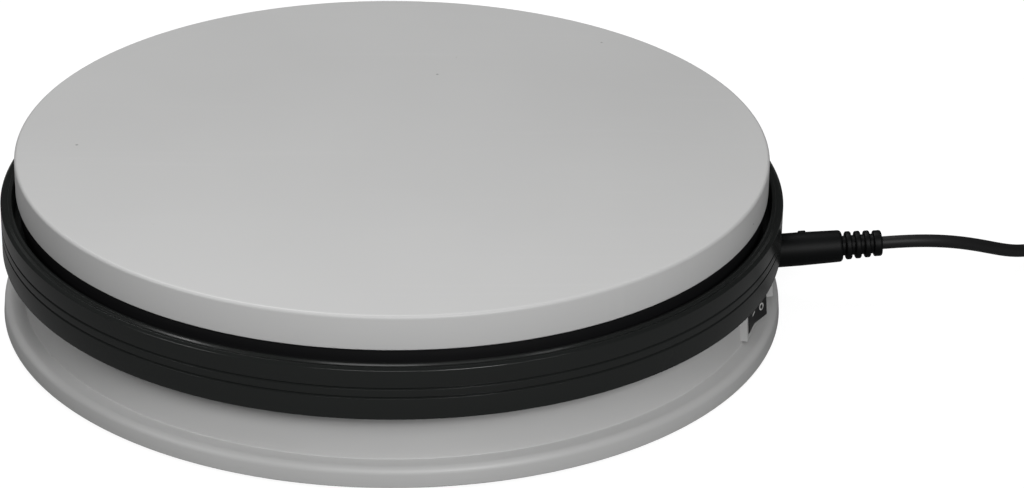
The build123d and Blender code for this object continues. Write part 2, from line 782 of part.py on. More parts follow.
# Rocker: two faces in a shallow V, ends rounded about the pivot, resting pressed on its near end
with BuildPart() as switch_rocker:
    lean = radians(rocker_half_angle)
    side_plane = Plane(
        origin=pivot_plane.origin, x_dir=pivot_plane.x_dir, z_dir=-pivot_plane.y_dir
    ).rotated((0, 0, rocker_half_angle))
    crest = rocker_pivot_depth + rocker_rise
    corner = (sqrt(rocker_reach**2 - crest**2), crest)
    valley = rocker_pivot_depth + rocker_rise - corner[0] * tan(lean)
    foot = (sqrt(rocker_reach**2 - rocker_skirt**2), -rocker_skirt)
    with BuildSketch(side_plane.offset(-rocker_height / 2)):
        with BuildLine():
            Polyline((-corner[0], corner[1]), (0, valley), corner)
            RadiusArc(corner, foot, rocker_reach)
            Line(foot, (-foot[0], foot[1]))
            RadiusArc((-foot[0], foot[1]), (-corner[0], corner[1]), rocker_reach)
        make_face()
    extrude(amount=rocker_height)
    with BuildSketch(side_plane.offset(-rocker_height / 2 - trunnion_length)):
        Circle(trunnion_radius)
    extrude(amount=rocker_height + 2 * trunnion_length)
switch_rocker.part.label = "switch_rocker"
export_step(switch_rocker.part, "parts/switch_rocker.step")

# Two brass tabs out of the back of the switch
with BuildPart() as switch_terminals:
    with BuildSketch(switch_plane.offset(-switch_front_wall - switch_depth)):
        with GridLocations(7.0, 0, 2, 1):
            Rectangle(0.8, 4.8)
    extrude(amount=-terminal_length)
switch_terminals.part.label = "switch_terminals"
export_step(switch_terminals.part, "parts/switch_terminals.step")

# Power socket: a block behind the panel with a round nose and a centre pin
with BuildPart() as power_socket:
    with BuildSketch(socket_plane.offset(-wall_thickness)):
        Rectangle(socket_body[0], socket_body[1])
    extrude(amount=-socket_body[2])
    with BuildSketch(socket_plane.offset(-wall_thickness)):
        Circle(socket_nose_radius)
    extrude(amount=wall_thickness)
    with BuildSketch(socket_plane):
        Circle(socket_bore_radius)
    extrude(amount=-socket_bore_depth, mode=Mode.SUBTRACT)
power_socket.part.label = "power_socket"
export_step(power_socket.part, "parts/power_socket.step")

# Centre pin of the socket, with a bevelled end
with BuildPart() as socket_pin:
    with BuildSketch(socket_plane.offset(-socket_bore_depth)):
        Circle(socket_pin_radius)
    extrude(amount=socket_bore_depth - socket_pin_set_back)
    chamfer(socket_pin.faces().sort_by(Axis.X)[-1].edges(), socket_pin_radius / 2)
socket_pin.part.label = "socket_pin"
export_step(socket_pin.part, "parts/socket_pin.step")

# Plug's metal barrel, inside the socket
with BuildPart() as plug_barrel:
    with BuildSketch(socket_plane.offset(-barrel_length + loose_gap)):
        Circle(barrel_radius)
        Circle(barrel_bore, mode=Mode.SUBTRACT)
    extrude(amount=barrel_length)
plug_barrel.part.label = "plug_barrel"
export_step(plug_barrel.part, "parts/plug_barrel.step")

# Plug's moulded body
plug_face = socket_plane.offset(loose_gap)
plug_side = Plane(origin=plug_face.origin, x_dir=plug_face.z_dir, z_dir=-plug_face.x_dir)
with BuildPart() as plug_body:
    with BuildSketch(plug_side):
        with BuildLine():
            Polyline(
                (0, 0),
                (0, plug_radius - 0.4),
                (0.4, plug_radius),
                (plug_length * 0.45, plug_radius),
                (plug_length - 0.8, plug_tail_radius),
                (plug_length, plug_tail_radius - 0.8),
                (plug_length, 0),
                close=True,
            )
        make_face()
    revolve(axis=Axis(plug_face.origin, plug_face.z_dir))
    with BuildSketch(plug_face.offset(plug_nub_place - plug_nub[2] / 2)):
        with PolarLocations(plug_radius, 1, plug_nub_azimuth):
            Rectangle(plug_nub[0], plug_nub[1])
    extrude(amount=plug_nub[2])
plug_body.part.label = "plug_body"
export_step(plug_body.part, "parts/plug_body.step")

# Strain relief of three thinning ribs and an end collar on a round core
relief_gap = relief_rib_pitch - relief_rib_width
relief_length = relief_rib_count * relief_rib_pitch + relief_gap + relief_collar_width
with BuildPart() as strain_relief:
    with BuildSketch(plug_side):
        with BuildLine():
            corners = [(plug_length, 0), (plug_length, relief_core_radius)]
            for rib in range(relief_rib_count):
                rib_start = plug_length + rib * relief_rib_pitch + relief_gap
                rib_radius = relief_rib_radius - rib * relief_rib_taper
                corners.append((rib_start, relief_core_radius))
                corners.append((rib_start, rib_radius))
                corners.append((rib_start + relief_rib_width, rib_radius))
                corners.append((rib_start + relief_rib_width, relief_core_radius))
            corners.append((plug_length + relief_length - relief_collar_width, relief_core_radius))
            corners.append((plug_length + relief_length - relief_collar_width, relief_collar_radius))
            corners.append((plug_length + relief_length, relief_collar_radius))
            corners.append((plug_length + relief_length, 0))
            Polyline(*corners, close=True)
        make_face()
    revolve(axis=Axis(plug_face.origin, plug_face.z_dir))
strain_relief.part.label = "strain_relief"
export_step(strain_relief.part, "parts/strain_relief.step")

# Control board on its posts
board_plane = gear_plane(polar(board_distance, board_azimuth), board_azimuth, board_height)
with BuildPart() as control_board:
    with BuildSketch(board_plane):
        Rectangle(board_size[0], board_size[1])
        with GridLocations(0, board_post_spacing, 1, 2):
            Circle(screw_radius + loose_gap, mode=Mode.SUBTRACT)
    extrude(amount=board_size[2])
control_board.part.label = "control_board"
export_step(control_board.part, "parts/control_board.step")

# Parts soldered on the board
board_top = board_plane.offset(board_size[2])
with BuildPart() as board_components:
    with BuildSketch(board_top):
        with Locations(capacitor_place):
            Circle(capacitor_radius)
    extrude(amount=capacitor_height)
    with BuildSketch(board_top):
        with Locations(chip_place):
            Rectangle(chip_size[0], chip_size[1])
    extrude(amount=chip_size[2])
    with BuildSketch(board_top):
        with Locations(*header_places):
            Rectangle(header_size[0], header_size[1])
    extrude(amount=header_size[2])
board_components.part.label = "board_components"
export_step(board_components.part, "parts/board_components.step")

# Screws that hold the board on its posts
with BuildPart() as board_screws:
    with BuildSketch(board_top):
        with GridLocations(0, board_post_spacing, 1, 2):
            Circle(screw_head_radius)
    extrude(amount=screw_head_height)
    with BuildSketch(board_top):
        with GridLocations(0, board_post_spacing, 1, 2):
            Circle(screw_radius)
    extrude(amount=-board_screw_length)
board_screws.part.label = "board_screws"
export_step(board_screws.part, "parts/board_screws.step")


def cord_tube(points):
    """Centre line of runs and tangent arcs through the points, with its radii printed."""
    places = [Vector(*point) for point in points]
    radii = []
    for before, here, after in zip(places, places[1:], places[2:]):
        turn = radians((here - before).get_angle(after - here))
        shorter = min((here - before).length, (after - here).length)
        radii.append(0.45 * shorter / tan(turn / 2))
    print("cord arcs", [round(radius, 1) for radius in radii])
    return FilletPolyline(*places, radius=radii)


# Lead from the strain relief, down to the floor and round to the coil
relief_end = plug_face.offset(plug_length + relief_length).origin
coil_radius = coil_mean_radius + (coil_columns - 1) * cord_radius
coil_entry = (
    coil_centre[0] + polar(coil_radius, coil_entry_azimuth)[0],
    coil_centre[1] + polar(coil_radius, coil_entry_azimuth)[1],
    cord_radius,
)
lead_points = [
    tuple(relief_end),
    (136.0, 4.7, 15.1),
    (146.0, 7.2, 13.6),
    (155.5, 12.2, 9.9),
    (164.0, 18.9, 5.2),
    (172.0, 26.0, 1.8),
    (183.0, 33.0, cord_radius),
    (197.0, 40.5, cord_radius),
    coil_entry,
]
with BuildPart() as power_cord:
    with BuildLine() as lead_line:
        cord_tube(lead_points)
    with BuildSketch(Plane(origin=lead_line.line @ 0, z_dir=lead_line.line % 0)):
        Circle(cord_radius)
    sweep()
power_cord.part.label = "power_cord"
export_step(power_cord.part, "parts/power_cord.step")
lead_length = lead_line.wires()[0].length
print("lead", round(lead_length, 1), "volume share",
      round(power_cord.part.volume / (pi * cord_radius**2 * lead_length), 4))

# Coil of the unseen length, as the closed ring that its turns fill
coil_half_width = coil_columns * cord_radius
coil_height = 2 * coil_layers * cord_radius
with BuildPart() as cord_coil:
    with BuildSketch(Plane.XZ):
        with Locations((coil_mean_radius, coil_height / 2)):
            chamfered = Rectangle(2 * coil_half_width, coil_height)
        chamfer(chamfered.vertices(), cord_radius / 2)
    revolve(axis=Axis.Z)
cord_coil.part.label = "cord_coil"
cord_coil.part.position = (*coil_centre, 0)
export_step(cord_coil.part, "parts/cord_coil.step")

# Strap that holds the turns together
tie_point = polar(coil_mean_radius, tie_azimuth)
with BuildPart() as cord_tie:
    tie_plane = Plane(
        origin=(coil_centre[0] + tie_point[0], coil_centre[1] + tie_point[1], coil_height / 2),
        x_dir=(*polar(1, tie_azimuth), 0),
        z_dir=(-sin(radians(tie_azimuth)), cos(radians(tie_azimuth)), 0),
    )
    with BuildSketch(tie_plane.offset(-tie_width / 2)):
        RectangleRounded(2 * coil_half_width + 2 * tie_thickness, coil_height, 1.5)
        RectangleRounded(
            2 * coil_half_width, coil_height - 2 * tie_thickness, 1.0, mode=Mode.SUBTRACT
        )
    extrude(amount=tie_width)
cord_tie.part.label = "cord_tie"
export_step(cord_tie.part, "parts/cord_tie.step")

# Tail from the top of the coil down to the flat plug that lies beside it
top_turn = coil_height - cord_radius
tail_points = [
    (coil_centre[0] + coil_radius, coil_centre[1], top_turn),
    (223.6, 75.0, 10.9),
    (221.4, 85.8, 7.0),
    (usb_start[0] - polar(10.2, usb_heading)[0], usb_start[1] - polar(10.2, usb_heading)[1], usb_start[2]),
    usb_start,
]
with BuildPart() as cord_tail:
    with BuildLine() as tail_line:
        cord_tube(tail_points)
    with BuildSketch(Plane(origin=tail_line.line @ 0, z_dir=tail_line.line % 0)):
        Circle(cord_radius)
    sweep()
cord_tail.part.label = "cord_tail"
export_step(cord_tail.part, "parts/cord_tail.step")
tail_length = tail_line.wires()[0].length
print("tail", round(tail_length, 1), "volume share",
      round(cord_tail.part.volume / (pi * cord_radius**2 * tail_length), 4))

# Flat plug on the floor: relief, moulded body, metal shell and tongue
usb_plane = Plane(
    origin=usb_start,
    x_dir=(sin(radians(usb_heading)), -cos(radians(usb_heading)), 0),
    z_dir=(*polar(1, usb_heading), 0),
)
with BuildPart() as usb_relief:
    with BuildSketch(usb_plane):
        Circle(cord_radius + 0.6)
    with BuildSketch(usb_plane.offset(usb_relief_length)):
        Circle(usb_body_size[2] / 2 - 0.6)
    loft()
usb_relief.part.label = "usb_relief"
export_step(usb_relief.part, "parts/usb_relief.step")

with BuildPart() as usb_body:
    with BuildSketch(usb_plane.offset(usb_relief_length)):
        RectangleRounded(usb_body_size[1], usb_body_size[2], 1.6)
    extrude(amount=usb_body_size[0])
usb_body.part.label = "usb_body"
export_step(usb_body.part, "parts/usb_body.step")

with BuildPart() as usb_metal_shell:
    with BuildSketch(usb_plane.offset(usb_relief_length + usb_body_size[0])):
        Rectangle(usb_shell_size[1], usb_shell_size[2])
        Rectangle(
            usb_shell_size[1] - 2 * usb_shell_wall, usb_shell_size[2] - 2 * usb_shell_wall, mode=Mode.SUBTRACT
        )
    extrude(amount=usb_shell_size[0])
usb_metal_shell.part.label = "usb_metal_shell"
export_step(usb_metal_shell.part, "parts/usb_metal_shell.step")

with BuildPart() as usb_tongue:
    with BuildSketch(usb_plane.offset(usb_relief_length + usb_body_size[0])):
        with Locations((0, usb_tongue_thickness / 2)):
            Rectangle(usb_shell_size[1] - 2 * usb_shell_wall - loose_gap, usb_tongue_thickness)
    extrude(amount=usb_shell_size[0] - 2 * usb_shell_wall)
usb_tongue.part.label = "usb_tongue"
export_step(usb_tongue.part, "parts/usb_tongue.step")

coil_length = coil_turns * 2 * pi * coil_mean_radius
print("lead in all", round(lead_length + tail_length + coil_length))
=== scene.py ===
import math

import bmesh
import bpy
from mathutils import Matrix, Vector


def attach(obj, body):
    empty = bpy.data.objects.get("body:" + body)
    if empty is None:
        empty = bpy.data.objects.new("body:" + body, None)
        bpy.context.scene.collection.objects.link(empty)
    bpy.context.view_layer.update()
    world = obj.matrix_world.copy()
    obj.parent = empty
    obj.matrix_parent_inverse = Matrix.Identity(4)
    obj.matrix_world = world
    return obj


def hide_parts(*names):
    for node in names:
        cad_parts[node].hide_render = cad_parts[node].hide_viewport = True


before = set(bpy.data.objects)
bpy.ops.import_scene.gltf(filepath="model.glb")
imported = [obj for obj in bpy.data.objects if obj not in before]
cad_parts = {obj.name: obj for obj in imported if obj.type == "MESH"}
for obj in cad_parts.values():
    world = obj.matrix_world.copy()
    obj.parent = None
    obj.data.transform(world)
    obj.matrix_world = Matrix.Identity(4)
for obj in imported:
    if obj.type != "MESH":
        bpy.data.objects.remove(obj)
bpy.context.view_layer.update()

# Base shell: one moulding in pale satin plastic, with a flange round its foot. The wall leans in
# four degrees so that it leaves the mould, and flat pads stand out of it for the switch and the
# power socket. Towers and posts stand on its floor for the screws.
MM = 0.001
WALL_LEAN = 4.0
UNDERSIDE, FLOOR_LEVEL, SHELL_TOP = 1.5, 4.0, 23.5
FLANGE_RADIUS, FLANGE_TOP = 100.4, 6.5
HOLLOW_INNER, HOLLOW_OUTER, HOLLOW_TOP = 93.0, 97.6, 4.1
WALL_FOOT, WALL_HEAD, WALL_THICK = 95.1, 93.9, 2.4
SCREW_CIRCLE, SCREW_AZIMUTH, SCREW_HOLE = 80.0, 45.0, 1.65
FOOT_RADIUS, FOOT_SUNK = 6.0, 1.0
SWITCH_AZIMUTH, SWITCH_REACH, SWITCH_HEIGHT = -18.0, 96.0, 12.1
SOCKET_AZIMUTH, SOCKET_REACH, SOCKET_HEIGHT = 2.0, 96.6, 12.4
SHELL_PROFILE = [
    (0, UNDERSIDE, 0), (HOLLOW_INNER, UNDERSIDE, 0.3), (HOLLOW_INNER, HOLLOW_TOP, 0.3),
    (HOLLOW_OUTER, HOLLOW_TOP, 0.3), (HOLLOW_OUTER, UNDERSIDE, 0.3), (FLANGE_RADIUS, UNDERSIDE, 0.3),
    (FLANGE_RADIUS - 0.45, FLANGE_TOP, 1.9), (WALL_FOOT, FLANGE_TOP - 0.1, 0.25),
    (WALL_HEAD, SHELL_TOP, 0), (WALL_HEAD - WALL_THICK, SHELL_TOP, 0),
    (WALL_FOOT - WALL_THICK, FLOOR_LEVEL, 0.5), (0, FLOOR_LEVEL, 0),
]


def eased(corners, steps=6):
    """Outline points, with each (across, up, radius) corner rounded."""
    points = []
    for index, (across, up, radius) in enumerate(corners):
        here = Vector((across, up))
        if radius == 0:
            points.append(tuple(here))
            continue
        back = Vector(corners[index - 1][:2]) - here
        on = Vector(corners[(index + 1) % len(corners)][:2]) - here
        half = back.angle(on) / 2
        cut = min(radius / math.tan(half), 0.49 * min(back.length, on.length))
        radius = cut * math.tan(half)
        middle = here + (back.normalized() + on.normalized()).normalized() * radius / math.sin(half)
        first = here + back.normalized() * cut - middle
        last = here + on.normalized() * cut - middle
        turn = math.copysign(math.pi - 2 * half, first.x * last.y - first.y * last.x)
        for step in range(steps + 1):
            points.append(tuple(middle + Matrix.Rotation(turn * step / steps, 2) @ first))
    return points


def smoothed(mesh, edge=32):
    """The mesh, smooth but for edges of so many degrees or more."""
    mesh.shade_smooth()
    mesh.set_sharp_from_angle(angle=math.radians(edge))
    return mesh


def mesh_of(bm, name):
    """The finished mesh, facing outwards, smooth but for its edges."""
    bmesh.ops.remove_doubles(bm, verts=bm.verts, dist=1e-7)
    bmesh.ops.recalc_face_normals(bm, faces=bm.faces)
    mesh = bpy.data.meshes.new(name)
    bm.to_mesh(mesh)
    bm.free()
    return smoothed(mesh)


def turned(name, outline, steps=288, closed=False):
    """Mesh of (radius, height) points in millimetres, turned round Z."""
    bm = bmesh.new()
    rings = []
    for radius, height in outline:
        if radius < 1e-6:
            rings.append([bm.verts.new((0, 0, height * MM))])
            continue
        rings.append([
            bm.verts.new((
                radius * MM * math.cos(2 * math.pi * step / steps),
                radius * MM * math.sin(2 * math.pi * step / steps),
                height * MM,
            ))
            for step in range(steps)
        ])
    for low, high in zip(rings, rings[1:] + rings[:1] if closed else rings[1:]):
        for step in range(steps):
            corners = [
                low[step % len(low)], low[(step + 1) % steps % len(low)],
                high[(step + 1) % steps % len(high)], high[step % len(high)],
            ]
            corners = list(dict.fromkeys(corners))
            if len(corners) > 2:
                bm.faces.new(corners)
    return mesh_of(bm, name)


def block(name, low, high, place=Matrix()):
    """Box between two corners in millimetres."""
    bm = bmesh.new()
    bmesh.ops.create_cube(bm, size=1)
    for vert in bm.verts:
        vert.co = Vector(
            (low[axis] + (vert.co[axis] + 0.5) * (high[axis] - low[axis])) * MM for axis in range(3)
        )
    bm.transform(place)
    return mesh_of(bm, name)


def rod(name, radius, low, high, place=Matrix(), steps=64):
    """Plain cylinder along its own Z."""
    mesh = turned(name, [(0, low), (radius, low), (radius, high), (0, high)], steps)
    mesh.transform(place)
    return mesh


def joined(name, *meshes):
    """Several meshes in one, sharp edges kept."""
    bm = bmesh.new()
    for mesh in meshes:
        bm.from_mesh(mesh)
        bpy.data.meshes.remove(mesh)
    mesh = bpy.data.meshes.new(name)
    bm.to_mesh(mesh)
    bm.free()
    return smoothed(mesh)


def worked(mesh, *steps):
    """The mesh after modifiers: each step is a modifier type and its settings."""
    target = bpy.data.objects.new("work", mesh)
    bpy.context.scene.collection.objects.link(target)
    helpers = []
    for kind, settings in steps:
        modifier = target.modifiers.new(kind, kind)
        for key, value in settings.items():
            if isinstance(value, bpy.types.Mesh):
                value = bpy.data.objects.new("cutter", value)
                bpy.context.scene.collection.objects.link(value)
                helpers.append(value)
            setattr(modifier, key, value)
    graph = bpy.context.evaluated_depsgraph_get()
    made = bpy.data.meshes.new_from_object(target.evaluated_get(graph), depsgraph=graph)
    for helper in [target, *helpers]:
        bpy.data.objects.remove(helper)
    return smoothed(made)


def cut(mesh, *cutters, operation="DIFFERENCE"):
    """The mesh less its cutters, or what it shares with them."""
    return worked(
        mesh,
        *[("BOOLEAN", {"operation": operation, "solver": "EXACT", "object": tool}) for tool in cutters],
    )


def softened(mesh, width, segments=3):
    """The mesh with every sharp edge rounded by a moulding's small radius."""
    return worked(mesh, ("BEVEL", {
        "width": width * MM, "segments": segments,
        "limit_method": "ANGLE", "angle_limit": math.radians(40),
    }))


def on_wall(azimuth, reach, height):
    """Place on the leaning wall: X along it, Y up it, Z out of it."""
    turn, lean = math.radians(azimuth), math.radians(WALL_LEAN)
    along = Vector((-math.sin(turn), math.cos(turn), 0))
    out = Vector((math.cos(turn) * math.cos(lean), math.sin(turn) * math.cos(lean), math.sin(lean)))
    place = Matrix((along, out.cross(along), out)).transposed().to_4x4()
    place.translation = Vector((reach * math.cos(turn), reach * math.sin(turn), height)) * MM
    return place


def ring_places(count, radius, height, first=0.0):
    """Places evenly round the axis."""
    for index in range(count):
        turn = math.radians(first + index * 360 / count)
        yield Matrix.Translation(
            Vector((radius * math.cos(turn), radius * math.sin(turn), height)) * MM
        )


def node_tree(name, kind, inputs, outputs):
    """Node group with its sockets, what adds nodes and links to it, and its two end nodes."""
    tree = bpy.data.node_groups.new(name, kind)
    for socket, holds, value in inputs:
        added = tree.interface.new_socket(name=socket, in_out="INPUT", socket_type="NodeSocket" + holds)
        if value is not None:
            added.default_value = value
    for socket, holds in outputs:
        tree.interface.new_socket(name=socket, in_out="OUTPUT", socket_type="NodeSocket" + holds)
    put, link = tree.nodes.new, tree.links.new
    return tree, put, link, put("NodeGroupInput"), put("NodeGroupOutput")


def moulded_skin():
    """Node group: the faint clouding, grain and uneven gloss of moulded plastic."""
    tree, put, link, given, out = node_tree(
        "moulded_skin", "ShaderNodeTree",
        [
            ("Colour", "Color", (0.5, 0.5, 0.5, 1)), ("Clouding", "Float", 0.03),
            ("Cloud Scale", "Float", 40.0), ("Grain Scale", "Float", 2500.0),
            ("Grain Depth", "Float", 0.00002), ("Roughness", "Float", 0.4),
            ("Gloss Spread", "Float", 0.05),
        ],
        [("Colour", "Color"), ("Roughness", "Float"), ("Normal", "Vector")],
    )
    where = put("ShaderNodeTexCoord")
    cloud, grain = put("ShaderNodeTexNoise"), put("ShaderNodeTexNoise")
    cloud.inputs["Detail"].default_value, grain.inputs["Detail"].default_value = 4, 2
    for noise, scale in ((cloud, "Cloud Scale"), (grain, "Grain Scale")):
        link(where.outputs["Object"], noise.inputs["Vector"])
        link(given.outputs[scale], noise.inputs["Scale"])
    centred = put("ShaderNodeMath")
    centred.operation = "SUBTRACT"
    centred.inputs[1].default_value = 0.5
    link(cloud.outputs["Fac"], centred.inputs[0])
    shade, gain = put("ShaderNodeMath"), put("ShaderNodeVectorMath")
    shade.operation, gain.operation = "MULTIPLY_ADD", "SCALE"
    shade.inputs[2].default_value = 1.0
    link(centred.outputs[0], shade.inputs[0])
    link(given.outputs["Clouding"], shade.inputs[1])
    link(given.outputs["Colour"], gain.inputs[0])
    link(shade.outputs[0], gain.inputs["Scale"])
    link(gain.outputs[0], out.inputs["Colour"])
    gloss = put("ShaderNodeMath")
    gloss.operation = "MULTIPLY_ADD"
    link(centred.outputs[0], gloss.inputs[0])
    link(given.outputs["Gloss Spread"], gloss.inputs[1])
    link(given.outputs["Roughness"], gloss.inputs[2])
    link(gloss.outputs[0], out.inputs["Roughness"])
    bump = put("ShaderNodeBump")
    bump.inputs["Strength"].default_value = 1.0
    link(grain.outputs["Fac"], bump.inputs["Height"])
    link(given.outputs["Grain Depth"], bump.inputs["Distance"])
    link(bump.outputs[0], out.inputs["Normal"])
    return tree


SKIN = moulded_skin()


def moulded(name, colour, roughness, clouding=0.06, cloud_scale=40.0, grain_scale=2500.0,
            grain_depth=0.00001, gloss_spread=0.05, specular=0.5, coat=0.0):
    """Plastic or rubber with the moulded skin."""
    material = bpy.data.materials.new(name)
    material.use_nodes = True
    nodes, link = material.node_tree.nodes, material.node_tree.links.new
    shader = nodes["Principled BSDF"]
    shader.inputs["Specular IOR Level"].default_value = specular
    shader.inputs["Coat Weight"].default_value = coat
    skin = nodes.new("ShaderNodeGroup")
    skin.node_tree = SKIN
    for socket, value in (
        ("Colour", (*colour, 1)), ("Roughness", roughness), ("Clouding", clouding),
        ("Cloud Scale", cloud_scale), ("Grain Scale", grain_scale), ("Grain Depth", grain_depth),
        ("Gloss Spread", gloss_spread),
    ):
        skin.inputs[socket].default_value = value
    link(skin.outputs["Colour"], shader.inputs["Base Color"])
    link(skin.outputs["Roughness"], shader.inputs["Roughness"])
    link(skin.outputs["Normal"], shader.inputs["Normal"])
    return material


def piece(name, mesh, body, slot, material, *nodes):
    """The mesh as a piece that rides on a body and stands for CAD nodes."""
    mesh.name = name
    mesh.materials.clear()
    mesh.materials.append(material)
    made = bpy.data.objects.new(name, mesh)
    bpy.context.scene.collection.objects.link(made)
    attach(made, body)
    if nodes:
        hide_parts(*nodes)
    return made


# The base's pale plastic is set darker than the plate's (0.57): partly its own tone, partly painted shade
# for the dimmer light low down on the base and its flange.
pale_plastic = moulded("pale satin plastic", (0.50, 0.50, 0.497), 0.42, clouding=0.12, cloud_scale=22.0,
                       specular=0.4)
switch_place = on_wall(SWITCH_AZIMUTH, SWITCH_REACH, SWITCH_HEIGHT)
socket_place = on_wall(SOCKET_AZIMUTH, SOCKET_REACH, SOCKET_HEIGHT)
NOSE_HOLE, POST_TOP, TOWER_TOP = 4.15, 9.0, 7.0
BOARD_AZIMUTH, BOARD_REACH, BOARD_HALF = math.radians(-6), 63.0, 17.0
window_hole = ((-7.05, -3.55, -12), (7.05, 3.55, 2))
switch_pocket = ((-8.1, -4.5, -12), (8.1, 4.5, -1.6))
socket_pocket = ((-4.65, -5.45, -14), (4.65, 5.45, -2.4))
foot_places = list(ring_places(4, SCREW_CIRCLE, UNDERSIDE))
screw_places = list(ring_places(4, SCREW_CIRCLE, UNDERSIDE, SCREW_AZIMUTH))
shell = cut(
    turned("shell", eased(SHELL_PROFILE)),
    block("window", *window_hole, switch_place),
    block("pocket", *switch_pocket, switch_place),
    rod("nose hole", NOSE_HOLE, -12, 2, socket_place),
    joined("foot pockets", *[rod("pocket", FOOT_RADIUS, -1, FOOT_SUNK, place) for place in foot_places]),
    joined("counterbores", *[rod("bore", 3.1, -1, 2.4, place) for place in screw_places]),
    joined("screw holes", *[rod("hole", SCREW_HOLE, -1, 6, place) for place in screw_places]),
)
switch_pad = softened(cut(
    block("pad", (-8.3, -4.6, -6.8), (8.3, 7.2, 0), switch_place),
    block("window", *window_hole, switch_place),
    block("pocket", *switch_pocket, switch_place),
), 0.35)
socket_panel = softened(cut(
    block("panel", (-19, -3.4, -7.4), (19, 6.9, 0), socket_place),
    rod("nose hole", NOSE_HOLE, -12, 2, socket_place),
    block("pocket", *socket_pocket, socket_place),
), 0.35)
rooted = FLOOR_LEVEL - 0.1
screw_towers = [
    cut(
        rod("tower", 4.4, rooted - UNDERSIDE, TOWER_TOP - UNDERSIDE, place),
        rod("hole", SCREW_HOLE, -1, TOWER_TOP, place),
    )
    for place in screw_places
]
board_turn = Matrix.Rotation(BOARD_AZIMUTH, 3, "Z")
board_posts = [
    rod("post", 3.0, rooted, POST_TOP, Matrix.Translation(
        board_turn @ Vector((BOARD_REACH, side * BOARD_HALF, 0)) * MM
    ))
    for side in (-1, 1)
]
piece(
    "base_shell_moulding",
    joined("base", shell, switch_pad, socket_panel, *screw_towers, *board_posts),
    "base", "pale_plastic", pale_plastic, "base_shell",
)

# Feet: four turned rubber pads pressed into pockets under the floor, which grip the table.
# Each has a rounded lower edge and stands out a millimetre and a half.
FOOT_TOP = UNDERSIDE + FOOT_SUNK
FOOT_PROFILE = [(0, 0, 0), (FOOT_RADIUS, 0, 0.6), (FOOT_RADIUS, FOOT_TOP, 0), (0, FOOT_TOP, 0)]


def put_out(put, link, given, out, geometry):
    """What a geometry nodes tree has made, as plain mesh in the given material."""
    real, finish = put("GeometryNodeRealizeInstances"), put("GeometryNodeSetMaterial")
    link(geometry, real.inputs["Geometry"])
    link(real.outputs["Geometry"], finish.inputs["Geometry"])
    link(given.outputs["Material"], finish.inputs["Material"])
    link(finish.outputs["Geometry"], out.inputs["Geometry"])


def set_round_tree():
    """Geometry nodes: copies of one piece, evenly round the axis, each turned a little at random."""
    tree, put, link, given, out = node_tree(
        "set_round", "GeometryNodeTree",
        [
            ("Geometry", "Geometry", None), ("Count", "Int", 4), ("Circle Radius", "Float", 0.08),
            ("First Angle", "Float", 0.0), ("Height", "Float", 0.0), ("Random Turn", "Float", 0.0),
            ("Seed", "Int", 3), ("Material", "Material", None),
        ],
        [("Geometry", "Geometry")],
    )
    circle, shift = put("GeometryNodeMeshCircle"), put("GeometryNodeTransform")
    link(given.outputs["Count"], circle.inputs["Vertices"])
    link(given.outputs["Circle Radius"], circle.inputs["Radius"])
    link(circle.outputs["Mesh"], shift.inputs["Geometry"])
    lift, spin = put("ShaderNodeCombineXYZ"), put("ShaderNodeCombineXYZ")
    link(given.outputs["Height"], lift.inputs["Z"])
    link(given.outputs["First Angle"], spin.inputs["Z"])
    link(lift.outputs[0], shift.inputs["Translation"])
    link(spin.outputs[0], shift.inputs["Rotation"])
    chance, turn = put("FunctionNodeRandomValue"), put("ShaderNodeCombineXYZ")
    chance.data_type = "FLOAT"
    link(given.outputs["Random Turn"], chance.inputs[3])
    link(given.outputs["Seed"], chance.inputs["Seed"])
    link(chance.outputs[1], turn.inputs["Z"])
    copies = put("GeometryNodeInstanceOnPoints")
    link(shift.outputs["Geometry"], copies.inputs["Points"])
    link(given.outputs["Geometry"], copies.inputs["Instance"])
    link(turn.outputs[0], copies.inputs["Rotation"])
    put_out(put, link, given, out, copies.outputs["Instances"])
    return tree


SET_ROUND = set_round_tree()


def grown(mesh, tree, **values):
    """The plain mesh that a geometry nodes tree makes of a mesh."""
    holder = bpy.data.objects.new("grown", mesh)
    modifier = holder.modifiers.new("grown", "NODES")
    modifier.node_group = tree
    for item in tree.interface.items_tree:
        value_name = item.name.replace(" ", "_").lower()
        if item.in_out == "INPUT" and value_name in values:
            modifier[item.identifier] = values[value_name]
    bpy.context.scene.collection.objects.link(holder)
    graph = bpy.context.evaluated_depsgraph_get()
    made = bpy.data.meshes.new_from_object(holder.evaluated_get(graph), depsgraph=graph)
    bpy.data.objects.remove(holder)
    return made


foot_rubber = moulded("foot rubber", (0.035, 0.035, 0.035), 0.7, specular=0.3)
piece(
    "foot_pads",
    grown(turned("foot", eased(FOOT_PROFILE), 72), SET_ROUND, count=4, circle_radius=SCREW_CIRCLE * MM,
          material=foot_rubber),
    "base", "rubber", foot_rubber, "rubber_feet",
)

# Housing screws: four zinc-plated pan heads with a cross recess, sunk in counterbores under the
# floor. They come up through the base shell's towers into the black housing.
SCREW_LEVEL = 2.1
SCREW_PROFILE = [
    (0, 0, 0), (2.2, 0.0, 0.8), (2.8, 0.9, 0.3), (2.8, 1.8, 0),
    (1.5, 1.8, 0), (1.5, 15.2, 0), (0.9, 15.8, 0), (0, 15.8, 0),
]


